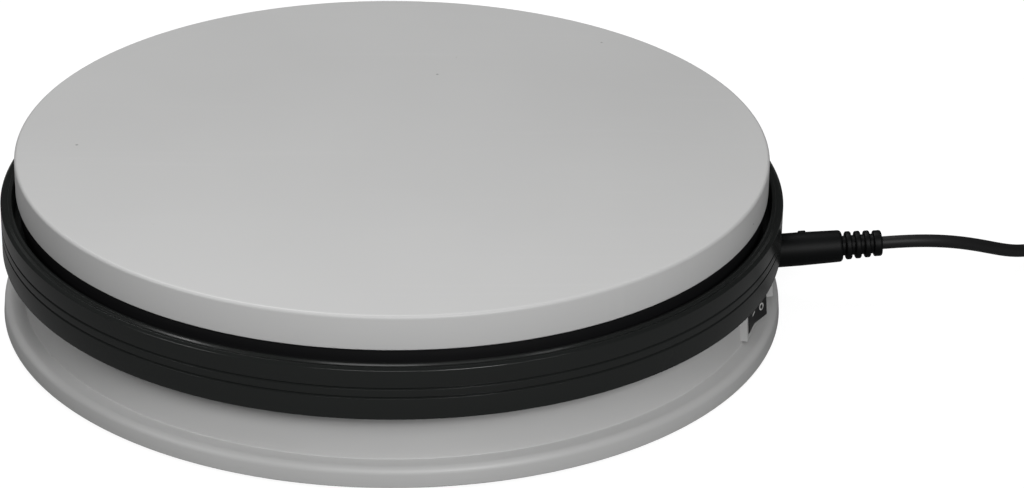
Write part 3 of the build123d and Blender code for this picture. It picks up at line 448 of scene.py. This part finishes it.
def metal(name, colour, roughness, scale=(900.0, 900.0, 60.0)):
    """Machined or plated metal with fine marks along its own Z."""
    material = bpy.data.materials.new(name)
    material.use_nodes = True
    nodes, link = material.node_tree.nodes, material.node_tree.links.new
    shader = nodes["Principled BSDF"]
    shader.inputs["Metallic"].default_value = 1.0
    shader.inputs["Base Color"].default_value = (*colour, 1)
    where, stretch, marks = (
        nodes.new("ShaderNodeTexCoord"), nodes.new("ShaderNodeMapping"), nodes.new("ShaderNodeTexNoise"),
    )
    stretch.inputs["Scale"].default_value = scale
    marks.inputs["Scale"].default_value, marks.inputs["Detail"].default_value = 1.0, 3
    spread = nodes.new("ShaderNodeMapRange")
    spread.inputs["To Min"].default_value = roughness * 0.75
    spread.inputs["To Max"].default_value = roughness * 1.25
    link(where.outputs["Object"], stretch.inputs["Vector"])
    link(stretch.outputs[0], marks.inputs["Vector"])
    link(marks.outputs["Fac"], spread.inputs["Value"])
    link(spread.outputs[0], shader.inputs["Roughness"])
    return material


zinc = metal("zinc plate", (0.62, 0.63, 0.65), 0.3)
cross_recess = joined(
    "cross",
    block("slot", (-1.5, -0.3, -1), (1.5, 0.3, 1.1)), block("slot", (-0.3, -1.5, -1), (0.3, 1.5, 1.1)),
)
screw_mesh = cut(turned("screw", eased(SCREW_PROFILE), 48), cross_recess)
piece(
    "housing_screw_set",
    grown(screw_mesh, SET_ROUND, count=4, circle_radius=SCREW_CIRCLE * MM,
          first_angle=math.radians(SCREW_AZIMUTH), height=SCREW_LEVEL * MM, random_turn=1.5, seed=5,
          material=zinc),
    "base", "zinc_screws", zinc, "housing_screws",
)

# Ring housing: the black moulding that shows all round between base and plate. It has a raised lip
# round the tray and two fine V grooves, and its deck inside closes the base and carries the
# rollers' cradles, the spindle and the motor.
RING_RADIUS, RING_FOOT, LIP_INSIDE, DECK_EDGE, DECK_TOP = 100.0, 19.6, 97.0, 93.0, 26.0
LOWER_GROOVE, UPPER_GROOVE, GROOVE_DEPTH, GROOVE_HALF = 25.45, 27.85, 0.6, 0.3
RING_PROFILE = [
    (DECK_EDGE, SHELL_TOP, 0), (97.4, SHELL_TOP, 0.3), (97.4, RING_FOOT, 0.2),
    (RING_RADIUS, RING_FOOT, 0.35),
    (RING_RADIUS, LOWER_GROOVE - GROOVE_HALF, 0.06), (RING_RADIUS - GROOVE_DEPTH, LOWER_GROOVE, 0.04),
    (RING_RADIUS, LOWER_GROOVE + GROOVE_HALF, 0.1),
    (RING_RADIUS, UPPER_GROOVE - GROOVE_HALF, 0.06), (RING_RADIUS - GROOVE_DEPTH, UPPER_GROOVE, 0.04),
    (RING_RADIUS, UPPER_GROOVE + GROOVE_HALF, 0.06),
    (RING_RADIUS, 32.5, 0.35), (99.2, 33.05, 0.2), (98.3, 32.95, 0.1), (97.95, 33.4, 0.3),
    (LIP_INSIDE, 33.35, 0.3), (LIP_INSIDE, DECK_TOP, 0.3), (DECK_EDGE, DECK_TOP, 0),
]
black_plastic = moulded("black gloss plastic", (0.0145, 0.0158, 0.0152), 0.2, specular=0.3,
                        grain_scale=700.0, grain_depth=0.000006, gloss_spread=0.12)


def cad_copy(node):
    """A merged copy of a CAD node's mesh."""
    bm = bmesh.new()
    bm.from_mesh(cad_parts[node].data)
    bmesh.ops.remove_doubles(bm, verts=bm.verts, dist=1e-7)
    mesh = bpy.data.meshes.new(node)
    bm.to_mesh(mesh)
    bm.free()
    return mesh


inside = rod("inside", DECK_EDGE + 0.2, 10, 40, steps=288)
deck = cut(cad_copy("ring_housing"), inside, operation="INTERSECT")
piece(
    "ring_housing_moulding",
    joined("ring", turned("ring", eased(RING_PROFILE), 360, closed=True), deck),
    "base", "black_plastic", black_plastic, "ring_housing",
)

# Tray: the black moulded disc that the plate is screwed to. Only its rim shows, as the dark gap
# under the plate, because it turns just inside the ring's lip.
HUB_FOOT, TRAY_UNDER, RIM_FOOT, TRAY_TOP = 28.55, 32.65, 29.85, 35.85
TRAY_PROFILE = [
    (6.0, HUB_FOOT, 0), (9.0, HUB_FOOT, 0.3), (9.0, TRAY_UNDER, 0.3), (93.2, TRAY_UNDER, 0.3),
    (93.2, RIM_FOOT, 0.3), (95.2, RIM_FOOT, 0.4), (95.2, TRAY_TOP, 0.2), (6.0, TRAY_TOP, 0),
]
tray_plastic = moulded("tray plastic", (0.006, 0.006, 0.0065), 0.5, specular=0.2)
piece(
    "tray_moulding", turned("tray", eased(TRAY_PROFILE), 288, closed=True),
    "platter", "tray_plastic", tray_plastic, "platter_tray",
)

# Top plate: a pale satin disc on which the goods stand, moulded hollow with ribs and screw bosses
# on its underside. Handling has left a few fine scratches and specks on the top.
PLATE_RADIUS, PLATE_INSIDE, PLATE_UNDER, PLATE_TOP = 96.0, 93.0, 41.55, 44.75
PLATE_PROFILE = [
    (0, PLATE_UNDER, 0), (PLATE_INSIDE, PLATE_UNDER, 0.5), (PLATE_INSIDE, TRAY_TOP, 0),
    (PLATE_RADIUS, TRAY_TOP, 0.3), (PLATE_RADIUS, PLATE_TOP, 0.9), (0, PLATE_TOP, 0),
]


def handled_top():
    """Node group: specks and hairline scratches, as masks over the surface."""
    tree, put, link, given, out = node_tree(
        "handled_top", "ShaderNodeTree",
        [("Speck Spacing", "Float", 60.0), ("Speck Size", "Float", 0.035), ("Scratch Scale", "Float", 14.0)],
        [("Specks", "Float"), ("Scratches", "Float")],
    )
    where = put("ShaderNodeTexCoord")
    cells, small = put("ShaderNodeTexVoronoi"), put("ShaderNodeMath")
    link(where.outputs["Object"], cells.inputs["Vector"])
    link(given.outputs["Speck Spacing"], cells.inputs["Scale"])
    small.operation = "LESS_THAN"
    link(cells.outputs["Distance"], small.inputs[0])
    shrink = put("ShaderNodeMath")
    shrink.operation = "MULTIPLY"
    link(cells.outputs["Color"], shrink.inputs[0])
    link(given.outputs["Speck Size"], shrink.inputs[1])
    link(shrink.outputs[0], small.inputs[1])
    link(small.outputs[0], out.inputs["Specks"])
    masks = []
    for turn, stretch in ((0.5, (1.0, 30.0, 1.0)), (1.9, (1.0, 22.0, 1.0))):
        lay, lines, thin = put("ShaderNodeMapping"), put("ShaderNodeTexNoise"), put("ShaderNodeMapRange")
        lay.inputs["Rotation"].default_value[2] = turn
        lay.inputs["Scale"].default_value = stretch
        link(where.outputs["Object"], lay.inputs["Vector"])
        link(lay.outputs[0], lines.inputs["Vector"])
        link(given.outputs["Scratch Scale"], lines.inputs["Scale"])
        lines.inputs["Detail"].default_value = 6
        thin.inputs["From Min"].default_value, thin.inputs["From Max"].default_value = 0.62, 0.72
        link(lines.outputs["Fac"], thin.inputs["Value"])
        masks.append(thin)
    both = put("ShaderNodeMath")
    both.operation = "MAXIMUM"
    link(masks[0].outputs[0], both.inputs[0])
    link(masks[1].outputs[0], both.inputs[1])
    link(both.outputs[0], out.inputs["Scratches"])
    return tree


plate_plastic = moulded("plate plastic", (0.57, 0.57, 0.567), 0.42, clouding=0.10, cloud_scale=9.0,
                        specular=0.4, gloss_spread=0.2)
plate_nodes, plate_link = plate_plastic.node_tree.nodes, plate_plastic.node_tree.links.new
plate_shader = plate_nodes["Principled BSDF"]
marks = plate_nodes.new("ShaderNodeGroup")
marks.node_tree = handled_top()
skin_colour = plate_shader.inputs["Base Color"].links[0].from_socket
for mask, colour, strength in (
    ("Specks", (0.20, 0.20, 0.20, 1), 0.7), ("Scratches", (0.63, 0.63, 0.63, 1), 0.12),
):
    weigh, mix = plate_nodes.new("ShaderNodeMath"), plate_nodes.new("ShaderNodeMix")
    weigh.operation, mix.data_type = "MULTIPLY", "RGBA"
    weigh.inputs[1].default_value = strength
    plate_link(marks.outputs[mask], weigh.inputs[0])
    plate_link(weigh.outputs[0], mix.inputs["Factor"])
    plate_link(skin_colour, mix.inputs["A"])
    mix.inputs["B"].default_value = colour
    skin_colour = mix.outputs["Result"]
plate_link(skin_colour, plate_shader.inputs["Base Color"])
RIB_COUNT, RIB_INNER, RIB_THICK, BOSS_CIRCLE = 8, 45.0, 1.6, 67.94
rib_top = PLATE_UNDER + 0.05
rib_outer = RIB_INNER + RIB_THICK
plate_ribs = [
    block(
        "rib", (RIB_INNER + 1, -RIB_THICK / 2, TRAY_TOP), (PLATE_INSIDE + 0.5, RIB_THICK / 2, rib_top),
        Matrix.Rotation(2 * math.pi * index / RIB_COUNT, 4, "Z"),
    )
    for index in range(RIB_COUNT)
]
plate_bosses = [
    cut(rod("boss", 3.9, TRAY_TOP, rib_top, place), rod("hole", 1.2, TRAY_TOP - 0.85, rib_top, place))
    for place in ring_places(4, BOSS_CIRCLE, 0)
]
rib_ring = turned("rib ring", [
    (RIB_INNER, TRAY_TOP), (rib_outer, TRAY_TOP), (rib_outer, rib_top), (RIB_INNER, rib_top),
], 180, closed=True)
piece(
    "top_plate_moulding",
    joined("plate", turned("plate", eased(PLATE_PROFILE), 360), rib_ring, *plate_ribs, *plate_bosses),
    "platter", "plate_plastic", plate_plastic, "top_plate",
)

# Rocker switch: a black box clipped behind the pad, and in its window a rocker with two faces in a
# shallow V. The marks I and O are printed on it in grey, and it rests pressed on its near end.
ROCKER_REACH, ROCKER_HALF, ROCKER_SKIRT = 7.0, 3.4, 0.7
PIVOT_DEPTH, TILT = 2.5, math.radians(9)
switch_plastic = moulded("switch plastic", (0.006, 0.006, 0.0065), 0.4, specular=0.2)
printed_grey = moulded("printed grey", (0.62, 0.62, 0.61), 0.6, specular=0.2)
pivot_place = (
    switch_place @ Matrix.Translation((0, 0, -PIVOT_DEPTH * MM)) @ Matrix.Rotation(-TILT, 4, "Y")
)
CREST = PIVOT_DEPTH + 1.1
corner_across = math.sqrt(ROCKER_REACH**2 - CREST**2)
VALLEY = CREST - corner_across * math.tan(TILT)
foot_across = math.sqrt(ROCKER_REACH**2 - ROCKER_SKIRT**2)


def rocker_side():
    """Outline of the rocker's end view: across, out."""
    crest_angle, foot_angle = math.atan2(CREST, corner_across), math.atan2(-ROCKER_SKIRT, foot_across)
    outline, steps = [(0, VALLEY), (corner_across, CREST)], 8
    for step in range(1, steps + 1):
        angle = crest_angle + (foot_angle - crest_angle) * step / steps
        outline.append((ROCKER_REACH * math.cos(angle), ROCKER_REACH * math.sin(angle)))
    return outline + [(-across, out) for across, out in reversed(outline[1:])]


bm = bmesh.new()
ends = [
    [bm.verts.new((across * MM, side * ROCKER_HALF * MM, out * MM)) for across, out in rocker_side()]
    for side in (-1, 1)
]
for end in ends:
    bm.faces.new(end)
for index in range(len(ends[0])):
    after = (index + 1) % len(ends[0])
    bm.faces.new((ends[0][index], ends[0][after], ends[1][after], ends[1][index]))
rocker = softened(mesh_of(bm, "rocker"), 0.3)
pins = rod("pins", 0.9, -4.1, 4.1, Matrix.Rotation(math.radians(90), 4, "X"), 32)
rocker = joined("rocker", rocker, pins)
rocker.transform(pivot_place)
piece("switch_rocker_moulding", rocker, "rocker", "switch_plastic", switch_plastic, "switch_rocker")


PRINT_HALF, PRINT_LEVEL = 0.02, 0.03


def on_rocker(side, along):
    """Place on one face of the rocker, just above it, so far along from the valley."""
    slope = math.atan2(CREST - VALLEY, corner_across)
    valley = pivot_place @ Matrix.Translation((0, 0, (VALLEY + PRINT_LEVEL) * MM))
    return valley @ Matrix.Rotation(-side * slope, 4, "Y") @ Matrix.Translation((side * along * MM, 0, 0))


mark_on = block("mark I", (-1.15, -0.26, -PRINT_HALF), (1.15, 0.26, PRINT_HALF), on_rocker(-1, 1.2))
mark_off = turned("mark O", [
    (0.62, -PRINT_HALF), (1.0, -PRINT_HALF), (1.0, PRINT_HALF), (0.62, PRINT_HALF),
], 48, closed=True)
mark_off.transform(on_rocker(1, 3.3))
piece("switch_marks", joined("marks", mark_on, mark_off), "rocker", "switch_plastic", printed_grey)

# Power socket: a black block behind the panel, whose round nose fills the panel's hole, with a
# nickel-plated centre pin in its bore.
nickel = metal("nickel plate", (0.66, 0.65, 0.62), 0.22)
BORE_FLOOR = -9.7
SOCKET_NOSE = [
    (0, -12.1, 0), (4.0, -12.1, 0), (4.0, 0, 0.25),
    (2.85, 0, 0.2), (2.85, BORE_FLOOR, 0), (0, BORE_FLOOR, 0),
]
socket_nose = turned("nose", eased(SOCKET_NOSE), 72)
socket_nose.transform(socket_place)
socket_block = softened(block("socket", (-4.5, -5.3, -14.4), (4.5, 5.3, -2.5), socket_place), 0.3)
socket_block = cut(socket_block, rod("bore", 3.9, BORE_FLOOR, 1, socket_place))
piece(
    "power_socket_moulding", joined("socket", socket_nose, socket_block),
    "base", "switch_plastic", switch_plastic, "power_socket",
)
pin = turned("pin", eased([(0, BORE_FLOOR, 0), (1.0, BORE_FLOOR, 0), (1.0, -2.0, 0.5), (0, -2.0, 0)]), 32)
pin.transform(socket_place)
piece("socket_centre_pin", pin, "base", "nickel", nickel, "socket_pin")

# Plug: a nickel-plated barrel in the socket, and a body of soft black plastic moulded over it and
# over the end of the lead. The body is a long, slightly tapering cylinder with a small nub.
PLUG_FACE, PLUG_END, BARREL_TIP = 0.15, 20.6, -9.35
barrel = turned("barrel", eased([
    (2.75, BARREL_TIP, 0.2), (2.75, PLUG_FACE, 0), (1.1, PLUG_FACE, 0), (1.1, BARREL_TIP, 0.2),
]), 64, closed=True)
barrel.transform(socket_place)
barrel_piece = piece("plug_barrel_sleeve", barrel, "base", "nickel", nickel, "plug_barrel")
plug_plastic = moulded("plug plastic", (0.0030, 0.0033, 0.0035), 0.5, specular=0.12,
                       grain_scale=1500.0, grain_depth=0.00001)
PLUG_PROFILE = [
    (0, PLUG_FACE, 0), (4.4, PLUG_FACE, 0.4), (4.4, 9.4, 8.0), (4.15, PLUG_END, 0.9), (0, PLUG_END, 0),
]
plug = turned("plug", eased(PLUG_PROFILE, 8), 96)
nub_turn = Matrix.Rotation(math.radians(-25), 4, "Z")
nub = softened(block("nub", (-0.6, 4.0, 9.35), (0.6, 4.75, 11.35), nub_turn), 0.3)
plug = joined("plug", plug, nub)
plug.transform(socket_place)
plug_piece = piece("plug_body_moulding", plug, "base", "plug_plastic", plug_plastic, "plug_body")

# Strain relief: three thin ribs and an end collar on a soft core, moulded with the plug. They let
# the lead bend without kinking where it comes out.
RIB_PITCH, RIB_WIDTH, RIB_RADIUS, RELIEF_END = 2.45, 1.6, 3.7, 31.0


def rib_row_tree():
    """Geometry nodes: ribs in a row along Z, each a little smaller than the last."""
    tree, put, link, given, out = node_tree(
        "rib_row", "GeometryNodeTree",
        [
            ("Geometry", "Geometry", None), ("Count", "Int", 3), ("Pitch", "Float", 0.00245),
            ("Start", "Float", 0.0), ("Taper", "Float", 0.02), ("Material", "Material", None),
        ],
        [("Geometry", "Geometry")],
    )
    row, at, step = put("GeometryNodeMeshLine"), put("ShaderNodeCombineXYZ"), put("ShaderNodeCombineXYZ")
    link(given.outputs["Start"], at.inputs["Z"])
    link(given.outputs["Pitch"], step.inputs["Z"])
    link(given.outputs["Count"], row.inputs["Count"])
    link(at.outputs[0], row.inputs["Start Location"])
    link(step.outputs[0], row.inputs["Offset"])
    index, less, size = put("GeometryNodeInputIndex"), put("ShaderNodeMath"), put("ShaderNodeMath")
    less.operation, size.operation = "MULTIPLY", "SUBTRACT"
    size.inputs[0].default_value = 1.0
    link(index.outputs[0], less.inputs[0])
    link(given.outputs["Taper"], less.inputs[1])
    link(less.outputs[0], size.inputs[1])
    scale = put("ShaderNodeCombineXYZ")
    scale.inputs["Z"].default_value = 1.0
    link(size.outputs[0], scale.inputs["X"])
    link(size.outputs[0], scale.inputs["Y"])
    copies = put("GeometryNodeInstanceOnPoints")
    link(row.outputs["Mesh"], copies.inputs["Points"])
    link(given.outputs["Geometry"], copies.inputs["Instance"])
    link(scale.outputs[0], copies.inputs["Scale"])
    put_out(put, link, given, out, copies.outputs["Instances"])
    return tree


rib = turned("rib", eased([
    (2.2, 0, 0), (RIB_RADIUS, 0, 0.5), (RIB_RADIUS, RIB_WIDTH, 0.5), (2.2, RIB_WIDTH, 0),
]), 72, closed=True)
ribs = grown(rib, rib_row_tree(), count=3, pitch=RIB_PITCH * MM, taper=0.022,
             start=(PLUG_END + RIB_PITCH - RIB_WIDTH) * MM, material=plug_plastic)
collar_start, core_start = RELIEF_END - 2.2, PLUG_END - 0.5
core = turned("core", eased([
    (0, core_start, 0), (2.6, core_start, 0), (2.6, collar_start, 0.2),
    (3.4, collar_start, 0.4), (3.4, RELIEF_END, 0.6), (0, RELIEF_END, 0),
]), 72)
relief = joined("relief", ribs, core)
relief.transform(socket_place)
relief_piece = piece("strain_relief_moulding", relief, "base", "plug_plastic", plug_plastic, "strain_relief")

# Lead: one metre of thin two-core cord in a black jacket. It leaves the plug level, bends down to
# the table in a long curve, and is wound up in a tied coil two turns wide and four high.
CORD_RADIUS = 1.7
COIL_CENTRE = Vector((203.0, 66.0, 0.0))
COIL_MIDDLE, LAYERS = 19.0, 4
COIL_TURN, FIRST_STEP, LAST_TURN = math.radians(-65), math.radians(230), math.radians(2520)
TURN_SHIFT, POINT_TURN = math.radians(36), math.radians(4)
USB_START, USB_TURN = Vector((212.5, 105.0, 4.0)), math.radians(117)
relief_tip = socket_place @ Vector((0, 0, RELIEF_END * MM)) / MM


def smooth_run(controls, spacing=1.2):
    """Points of a smooth curve drawn by control points, from the first to the last."""
    held = [controls[0]] * 2 + controls + [controls[-1]] * 2
    points = []
    for before, here, there, beyond in zip(held, held[1:], held[2:], held[3:]):
        steps = max(2, round((there - here).length / spacing))
        for step in range(steps):
            t = step / steps
            points.append((
                before * (1 - t) ** 3 + here * (3 * t**3 - 6 * t**2 + 4)
                + there * (-3 * t**3 + 3 * t**2 + 3 * t + 1) + beyond * t**3
            ) / 6)
    return points + [controls[-1].copy()]


def coil_run():
    """The wound turns: across, up and back, each step a little earlier than the last."""
    slots = []
    for layer in range(LAYERS):
        level = CORD_RADIUS * (1 + 2 * layer)
        pair = [(COIL_MIDDLE + CORD_RADIUS, level), (COIL_MIDDLE - CORD_RADIUS, level)]
        slots += pair if layer % 2 == 0 else pair[::-1]
    turn, points = COIL_TURN, []
    while turn < LAST_TURN:
        share = max(0.0, (turn - FIRST_STEP) / (2 * math.pi - TURN_SHIFT))
        slot = min(int(share), len(slots) - 2)
        moved = min(1.0, (share - slot) * (2 * math.pi - TURN_SHIFT) / TURN_SHIFT)
        moved = moved * moved * (3 - 2 * moved) if turn > FIRST_STEP else 0.0
        radius = slots[slot][0] + (slots[slot + 1][0] - slots[slot][0]) * moved
        level = slots[slot][1] + (slots[slot + 1][1] - slots[slot][1]) * moved
        points.append(COIL_CENTRE + Vector((radius * math.cos(turn), radius * math.sin(turn), level)))
        turn += POINT_TURN
    return points


coil = coil_run()
lead = smooth_run([
    relief_tip, Vector((136.0, 4.7, 15.15)), Vector((146.0, 7.0, 13.9)), Vector((155.5, 12.0, 10.1)),
    Vector((164.0, 18.9, 5.0)), Vector((172.0, 26.0, 1.7)), Vector((183.0, 33.0, 1.7)),
    Vector((197.0, 40.4, 1.7)), coil[0],
])
heading = Vector((math.cos(USB_TURN), math.sin(USB_TURN), 0))
tail = smooth_run([
    coil[-1], Vector((223.6, 75.0, 10.9)), Vector((221.4, 85.8, 7.0)), USB_START - heading * 10.2, USB_START,
])
cord_line = lead + coil[1:-1] + tail
cord_line = [
    here for here, after in zip(cord_line, cord_line[1:]) if (here - after).length > 0.2
] + [cord_line[-1]]


def cord_tree():
    """Geometry nodes: a round jacket along a line of points."""
    tree, put, link, given, out = node_tree(
        "cord_jacket", "GeometryNodeTree",
        [
            ("Geometry", "Geometry", None), ("Diameter", "Float", 0.0034), ("Sides", "Int", 20),
            ("Material", "Material", None),
        ],
        [("Geometry", "Geometry")],
    )
    line, circle = put("GeometryNodeMeshToCurve"), put("GeometryNodeCurvePrimitiveCircle")
    half, jacket = put("ShaderNodeMath"), put("GeometryNodeCurveToMesh")
    half.operation = "MULTIPLY"
    half.inputs[1].default_value = 0.5
    jacket.inputs["Fill Caps"].default_value = True
    link(given.outputs["Geometry"], line.inputs["Mesh"])
    link(given.outputs["Diameter"], half.inputs[0])
    link(half.outputs[0], circle.inputs["Radius"])
    link(given.outputs["Sides"], circle.inputs["Resolution"])
    link(line.outputs["Curve"], jacket.inputs["Curve"])
    link(circle.outputs["Curve"], jacket.inputs["Profile Curve"])
    put_out(put, link, given, out, jacket.outputs["Mesh"])
    return tree


cord_jacket = moulded("cord jacket", (0.012, 0.012, 0.0125), 0.5, specular=0.25, cloud_scale=200.0,
                      clouding=0.2, grain_scale=1200.0, grain_depth=0.00002)
line_mesh = bpy.data.meshes.new("cord line")
links = [(index, index + 1) for index in range(len(cord_line) - 1)]
line_mesh.from_pydata([point * MM for point in cord_line], links, [])
cord_mesh = grown(line_mesh, cord_tree(), diameter=2 * CORD_RADIUS * MM, sides=20, material=cord_jacket)
smoothed(cord_mesh, 60)
cord_piece = piece(
    "power_lead", cord_mesh, "base", "cord_jacket", cord_jacket, "power_cord", "cord_coil", "cord_tail"
)

# Coil tie: a thin rubber strap, nine millimetres wide, looped tightly round all the windings of
# the cord.
TIE_TURN = math.radians(110)
tie_place = Matrix((
    Vector((math.cos(TIE_TURN), math.sin(TIE_TURN), 0)), Vector((0, 0, 1)),
    Vector((math.sin(TIE_TURN), -math.cos(TIE_TURN), 0)),
)).transposed().to_4x4()
tie_place.translation = (COIL_CENTRE + Vector((
    COIL_MIDDLE * math.cos(TIE_TURN), COIL_MIDDLE * math.sin(TIE_TURN), LAYERS * CORD_RADIUS,
))) * MM


def strap(name, outer, inner, width, place):
    """Closed band with a rounded oblong section, its hole along its own Z."""
    bm = bmesh.new()
    rings = []
    for outline, level in ((outer, -1), (outer, 1), (inner, 1), (inner, -1)):
        rings.append([bm.verts.new((x * MM, y * MM, level * width / 2 * MM)) for x, y in outline])
    for one, other in zip(rings, rings[1:] + rings[:1]):
        for index in range(len(one)):
            after = (index + 1) % len(one)
            bm.faces.new((one[index], one[after], other[after], other[index]))
    bm.transform(place)
    return mesh_of(bm, name)


def oblong(half_width, half_height, radius):
    """Rounded rectangle outline."""
    return eased([
        (half_width, half_height, radius), (-half_width, half_height, radius),
        (-half_width, -half_height, radius), (half_width, -half_height, radius),
    ], 8)


strap_rubber = moulded("strap rubber", (0.016, 0.016, 0.017), 0.6, specular=0.3)
tie = softened(strap("tie", oblong(4.1, 6.8, 2.0), oblong(3.4, 6.2, 1.6), 9.0, tie_place), 0.12, 2)
tie_piece = piece("coil_tie", tie, "base", "rubber", strap_rubber, "cord_tie")

# Far plug: a flat power plug of the common kind at the lead's other end, with a tapering relief, a
# moulded body, a folded metal shell and a pale contact tongue.
USB_BODY_START, USB_SHELL_START, USB_TIP = 11.0, 31.0, 43.0
usb_place = Matrix((
    Vector((math.sin(USB_TURN), -math.cos(USB_TURN), 0)), Vector((0, 0, 1)), heading,
)).transposed().to_4x4()
usb_place.translation = USB_START * MM
usb_relief = turned("relief", eased([
    (0, 0, 0), (2.3, 0, 0.3), (3.4, USB_BODY_START, 0), (0, USB_BODY_START, 0),
]), 64)
usb_relief.transform(usb_place)
usb_relief_piece = piece("far_plug_relief", usb_relief, "base", "plug_plastic", plug_plastic, "usb_relief")
body_middle = usb_place @ Matrix.Translation((0, 0, (USB_BODY_START + USB_SHELL_START) / 2 * MM))
usb_body = softened(strap(
    "body", oblong(7.5, 4.0, 1.6), oblong(5.85, 2.1, 0.2), USB_SHELL_START - USB_BODY_START, body_middle
), 0.5)
usb_fill = block(
    "fill", (-6.2, -2.4, USB_BODY_START + 0.3), (6.2, 2.4, USB_SHELL_START - 0.4), usb_place
)
usb_body_piece = piece(
    "far_plug_body", joined("body", usb_body, usb_fill), "base", "plug_plastic", plug_plastic, "usb_body"
)
shell_middle = usb_place @ Matrix.Translation((0, 0, (USB_SHELL_START + USB_TIP) / 2 * MM))
usb_shell = softened(strap(
    "shell", oblong(6.0, 2.25, 0.5), oblong(5.65, 1.9, 0.2), USB_TIP - USB_SHELL_START, shell_middle
), 0.08, 2)
windows = joined("windows", *[
    block("window", (side * 2.6 - 1.1, -3, 35.5), (side * 2.6 + 1.1, 3, 37.7), usb_place)
    for side in (-1, 1)
])
usb_shell_piece = piece(
    "far_plug_shell", cut(usb_shell, windows), "base", "nickel", nickel, "usb_metal_shell"
)
usb_tongue = block("tongue", (-5.57, 0.0, USB_SHELL_START), (5.57, 1.8, USB_TIP - 0.7), usb_place)
usb_tongue_piece = piece(
    "far_plug_tongue", softened(usb_tongue, 0.1), "base", "pale_plastic", pale_plastic, "usb_tongue"
)

# Inside: the drive and the electrics, closed in under the plate. The ring gear, cluster gear and
# rollers are natural acetal, the pinion and the bush are brass, the spindle, gear pin and clip are
# steel, and the motor is a flat plated can.
acetal = moulded("natural acetal", (0.74, 0.73, 0.69), 0.4)
steel = metal("ground steel", (0.55, 0.55, 0.56), 0.28)
brass = metal("brass", (0.72, 0.53, 0.26), 0.3)
can_metal = metal("plated can", (0.60, 0.60, 0.61), 0.32)
board_lacquer = moulded("board lacquer", (0.02, 0.13, 0.05), 0.3)
for material, names in (
    (acetal, ["ring_gear", "cluster_gear", *[f"support_roller_{number}" for number in range(1, 7)]]),
    (steel, ["spindle", "retaining_clip", "gear_pin", "motor_shaft"]),
    (brass, ["hub_bush", "drive_pinion", "switch_terminals"]),
    (zinc, ["motor_screws", "plate_screws", "board_screws"]),
    (can_metal, ["motor_can"]),
    (board_lacquer, ["control_board"]),
    (switch_plastic, ["motor_wire_block", "switch_housing", "board_components"]),
):
    for name in names:
        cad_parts[name].data.materials.clear()
        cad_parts[name].data.materials.append(material)

# Studio: a white table, soft panels round the stand at the left, the front, the right and high behind
# it, two small ones for the glints on the rims, and a long lens a little under a metre away.
TABLE_HALF, TABLE_LEVEL = 4.0, -0.0001
table = bpy.data.materials.new("white table")
table.use_nodes = True
table_nodes, table_link = table.node_tree.nodes, table.node_tree.links.new
table_shader = table_nodes["Principled BSDF"]
table_shader.inputs["Base Color"].default_value = (0.16, 0.16, 0.16, 1)
table_shader.inputs["Roughness"].default_value = 1.0
table_shader.inputs["Specular IOR Level"].default_value = 0.0
table_shader.inputs["Emission Color"].default_value = (1, 1, 1, 1)
ray = table_nodes.new("ShaderNodeLightPath")
seen, mirrored = table_nodes.new("ShaderNodeMath"), table_nodes.new("ShaderNodeMath")
seen.operation, mirrored.operation = "MULTIPLY", "MULTIPLY_ADD"
table_link(ray.outputs["Is Camera Ray"], seen.inputs[0])
seen.inputs[1].default_value = 0.93
table_link(ray.outputs["Is Glossy Ray"], mirrored.inputs[0])
mirrored.inputs[1].default_value = 0.05
table_link(seen.outputs[0], mirrored.inputs[2])
table_link(mirrored.outputs[0], table_shader.inputs["Emission Strength"])
table_mesh = bpy.data.meshes.new("table")
table_corners = [
    (across * TABLE_HALF, along * TABLE_HALF, TABLE_LEVEL)
    for across, along in ((-1, -1), (1, -1), (1, 1), (-1, 1))
]
table_mesh.from_pydata(table_corners, [], [(0, 1, 2, 3)])
table_mesh.materials.append(table)
table_top = bpy.data.objects.new("table_top", table_mesh)
bpy.context.scene.collection.objects.link(table_top)

world = bpy.data.worlds.new("room")
bpy.context.scene.world = world
world.use_nodes = True
world.node_tree.nodes["Background"].inputs["Color"].default_value = (1, 1, 1, 1)
world.node_tree.nodes["Background"].inputs["Strength"].default_value = 0.03


def panel(name, azimuth, elevation, size, strength, distance=1.2):
    """Soft rectangular light that faces the object; azimuth 0 is towards +X."""
    turn, rise = math.radians(azimuth), math.radians(elevation)
    away = Vector((math.cos(turn) * math.cos(rise), math.sin(turn) * math.cos(rise), math.sin(rise)))
    lamp = bpy.data.lights.new(name, "AREA")
    lamp.shape, lamp.size, lamp.size_y = "RECTANGLE", *size
    lamp.energy = strength
    made = bpy.data.objects.new(name, lamp)
    made.location = away * distance
    made.rotation_euler = away.to_track_quat("Z", "Y").to_euler()
    bpy.context.scene.collection.objects.link(made)
    return made


panel("left panel", -152, 30, (0.4, 0.4), 2.2)
panel("front panel", -96, 42, (0.45, 0.45), 3.0)
panel("right panel", -68, 30, (0.3, 0.45), 6.4)
panel("back panel", 115, 62, (0.5, 0.5), 6.8)
panel("left glint lamp", -155, 40, (0.1, 0.1), 0.35)
panel("right glint lamp", -42, 40, (0.1, 0.1), 0.5)

lens = bpy.data.cameras.new("long lens")
lens.sensor_width, lens.lens = 36.0, 123.224
lens.clip_start, lens.clip_end = 0.05, 20.0
camera = bpy.data.objects.new("camera", lens)
camera.matrix_world = Matrix((
    (0.99948802, -0.00274831, -0.03187689, 0.0018181),
    (-0.02736278, 0.44293203, -0.89613754, -0.8138147),
    (0.01658216, 0.89655098, 0.44263006, 0.4180672),
    (0, 0, 0, 1),
))
bpy.context.scene.collection.objects.link(camera)
bpy.context.scene.camera = camera
bpy.context.scene.view_settings.view_transform = "Standard"
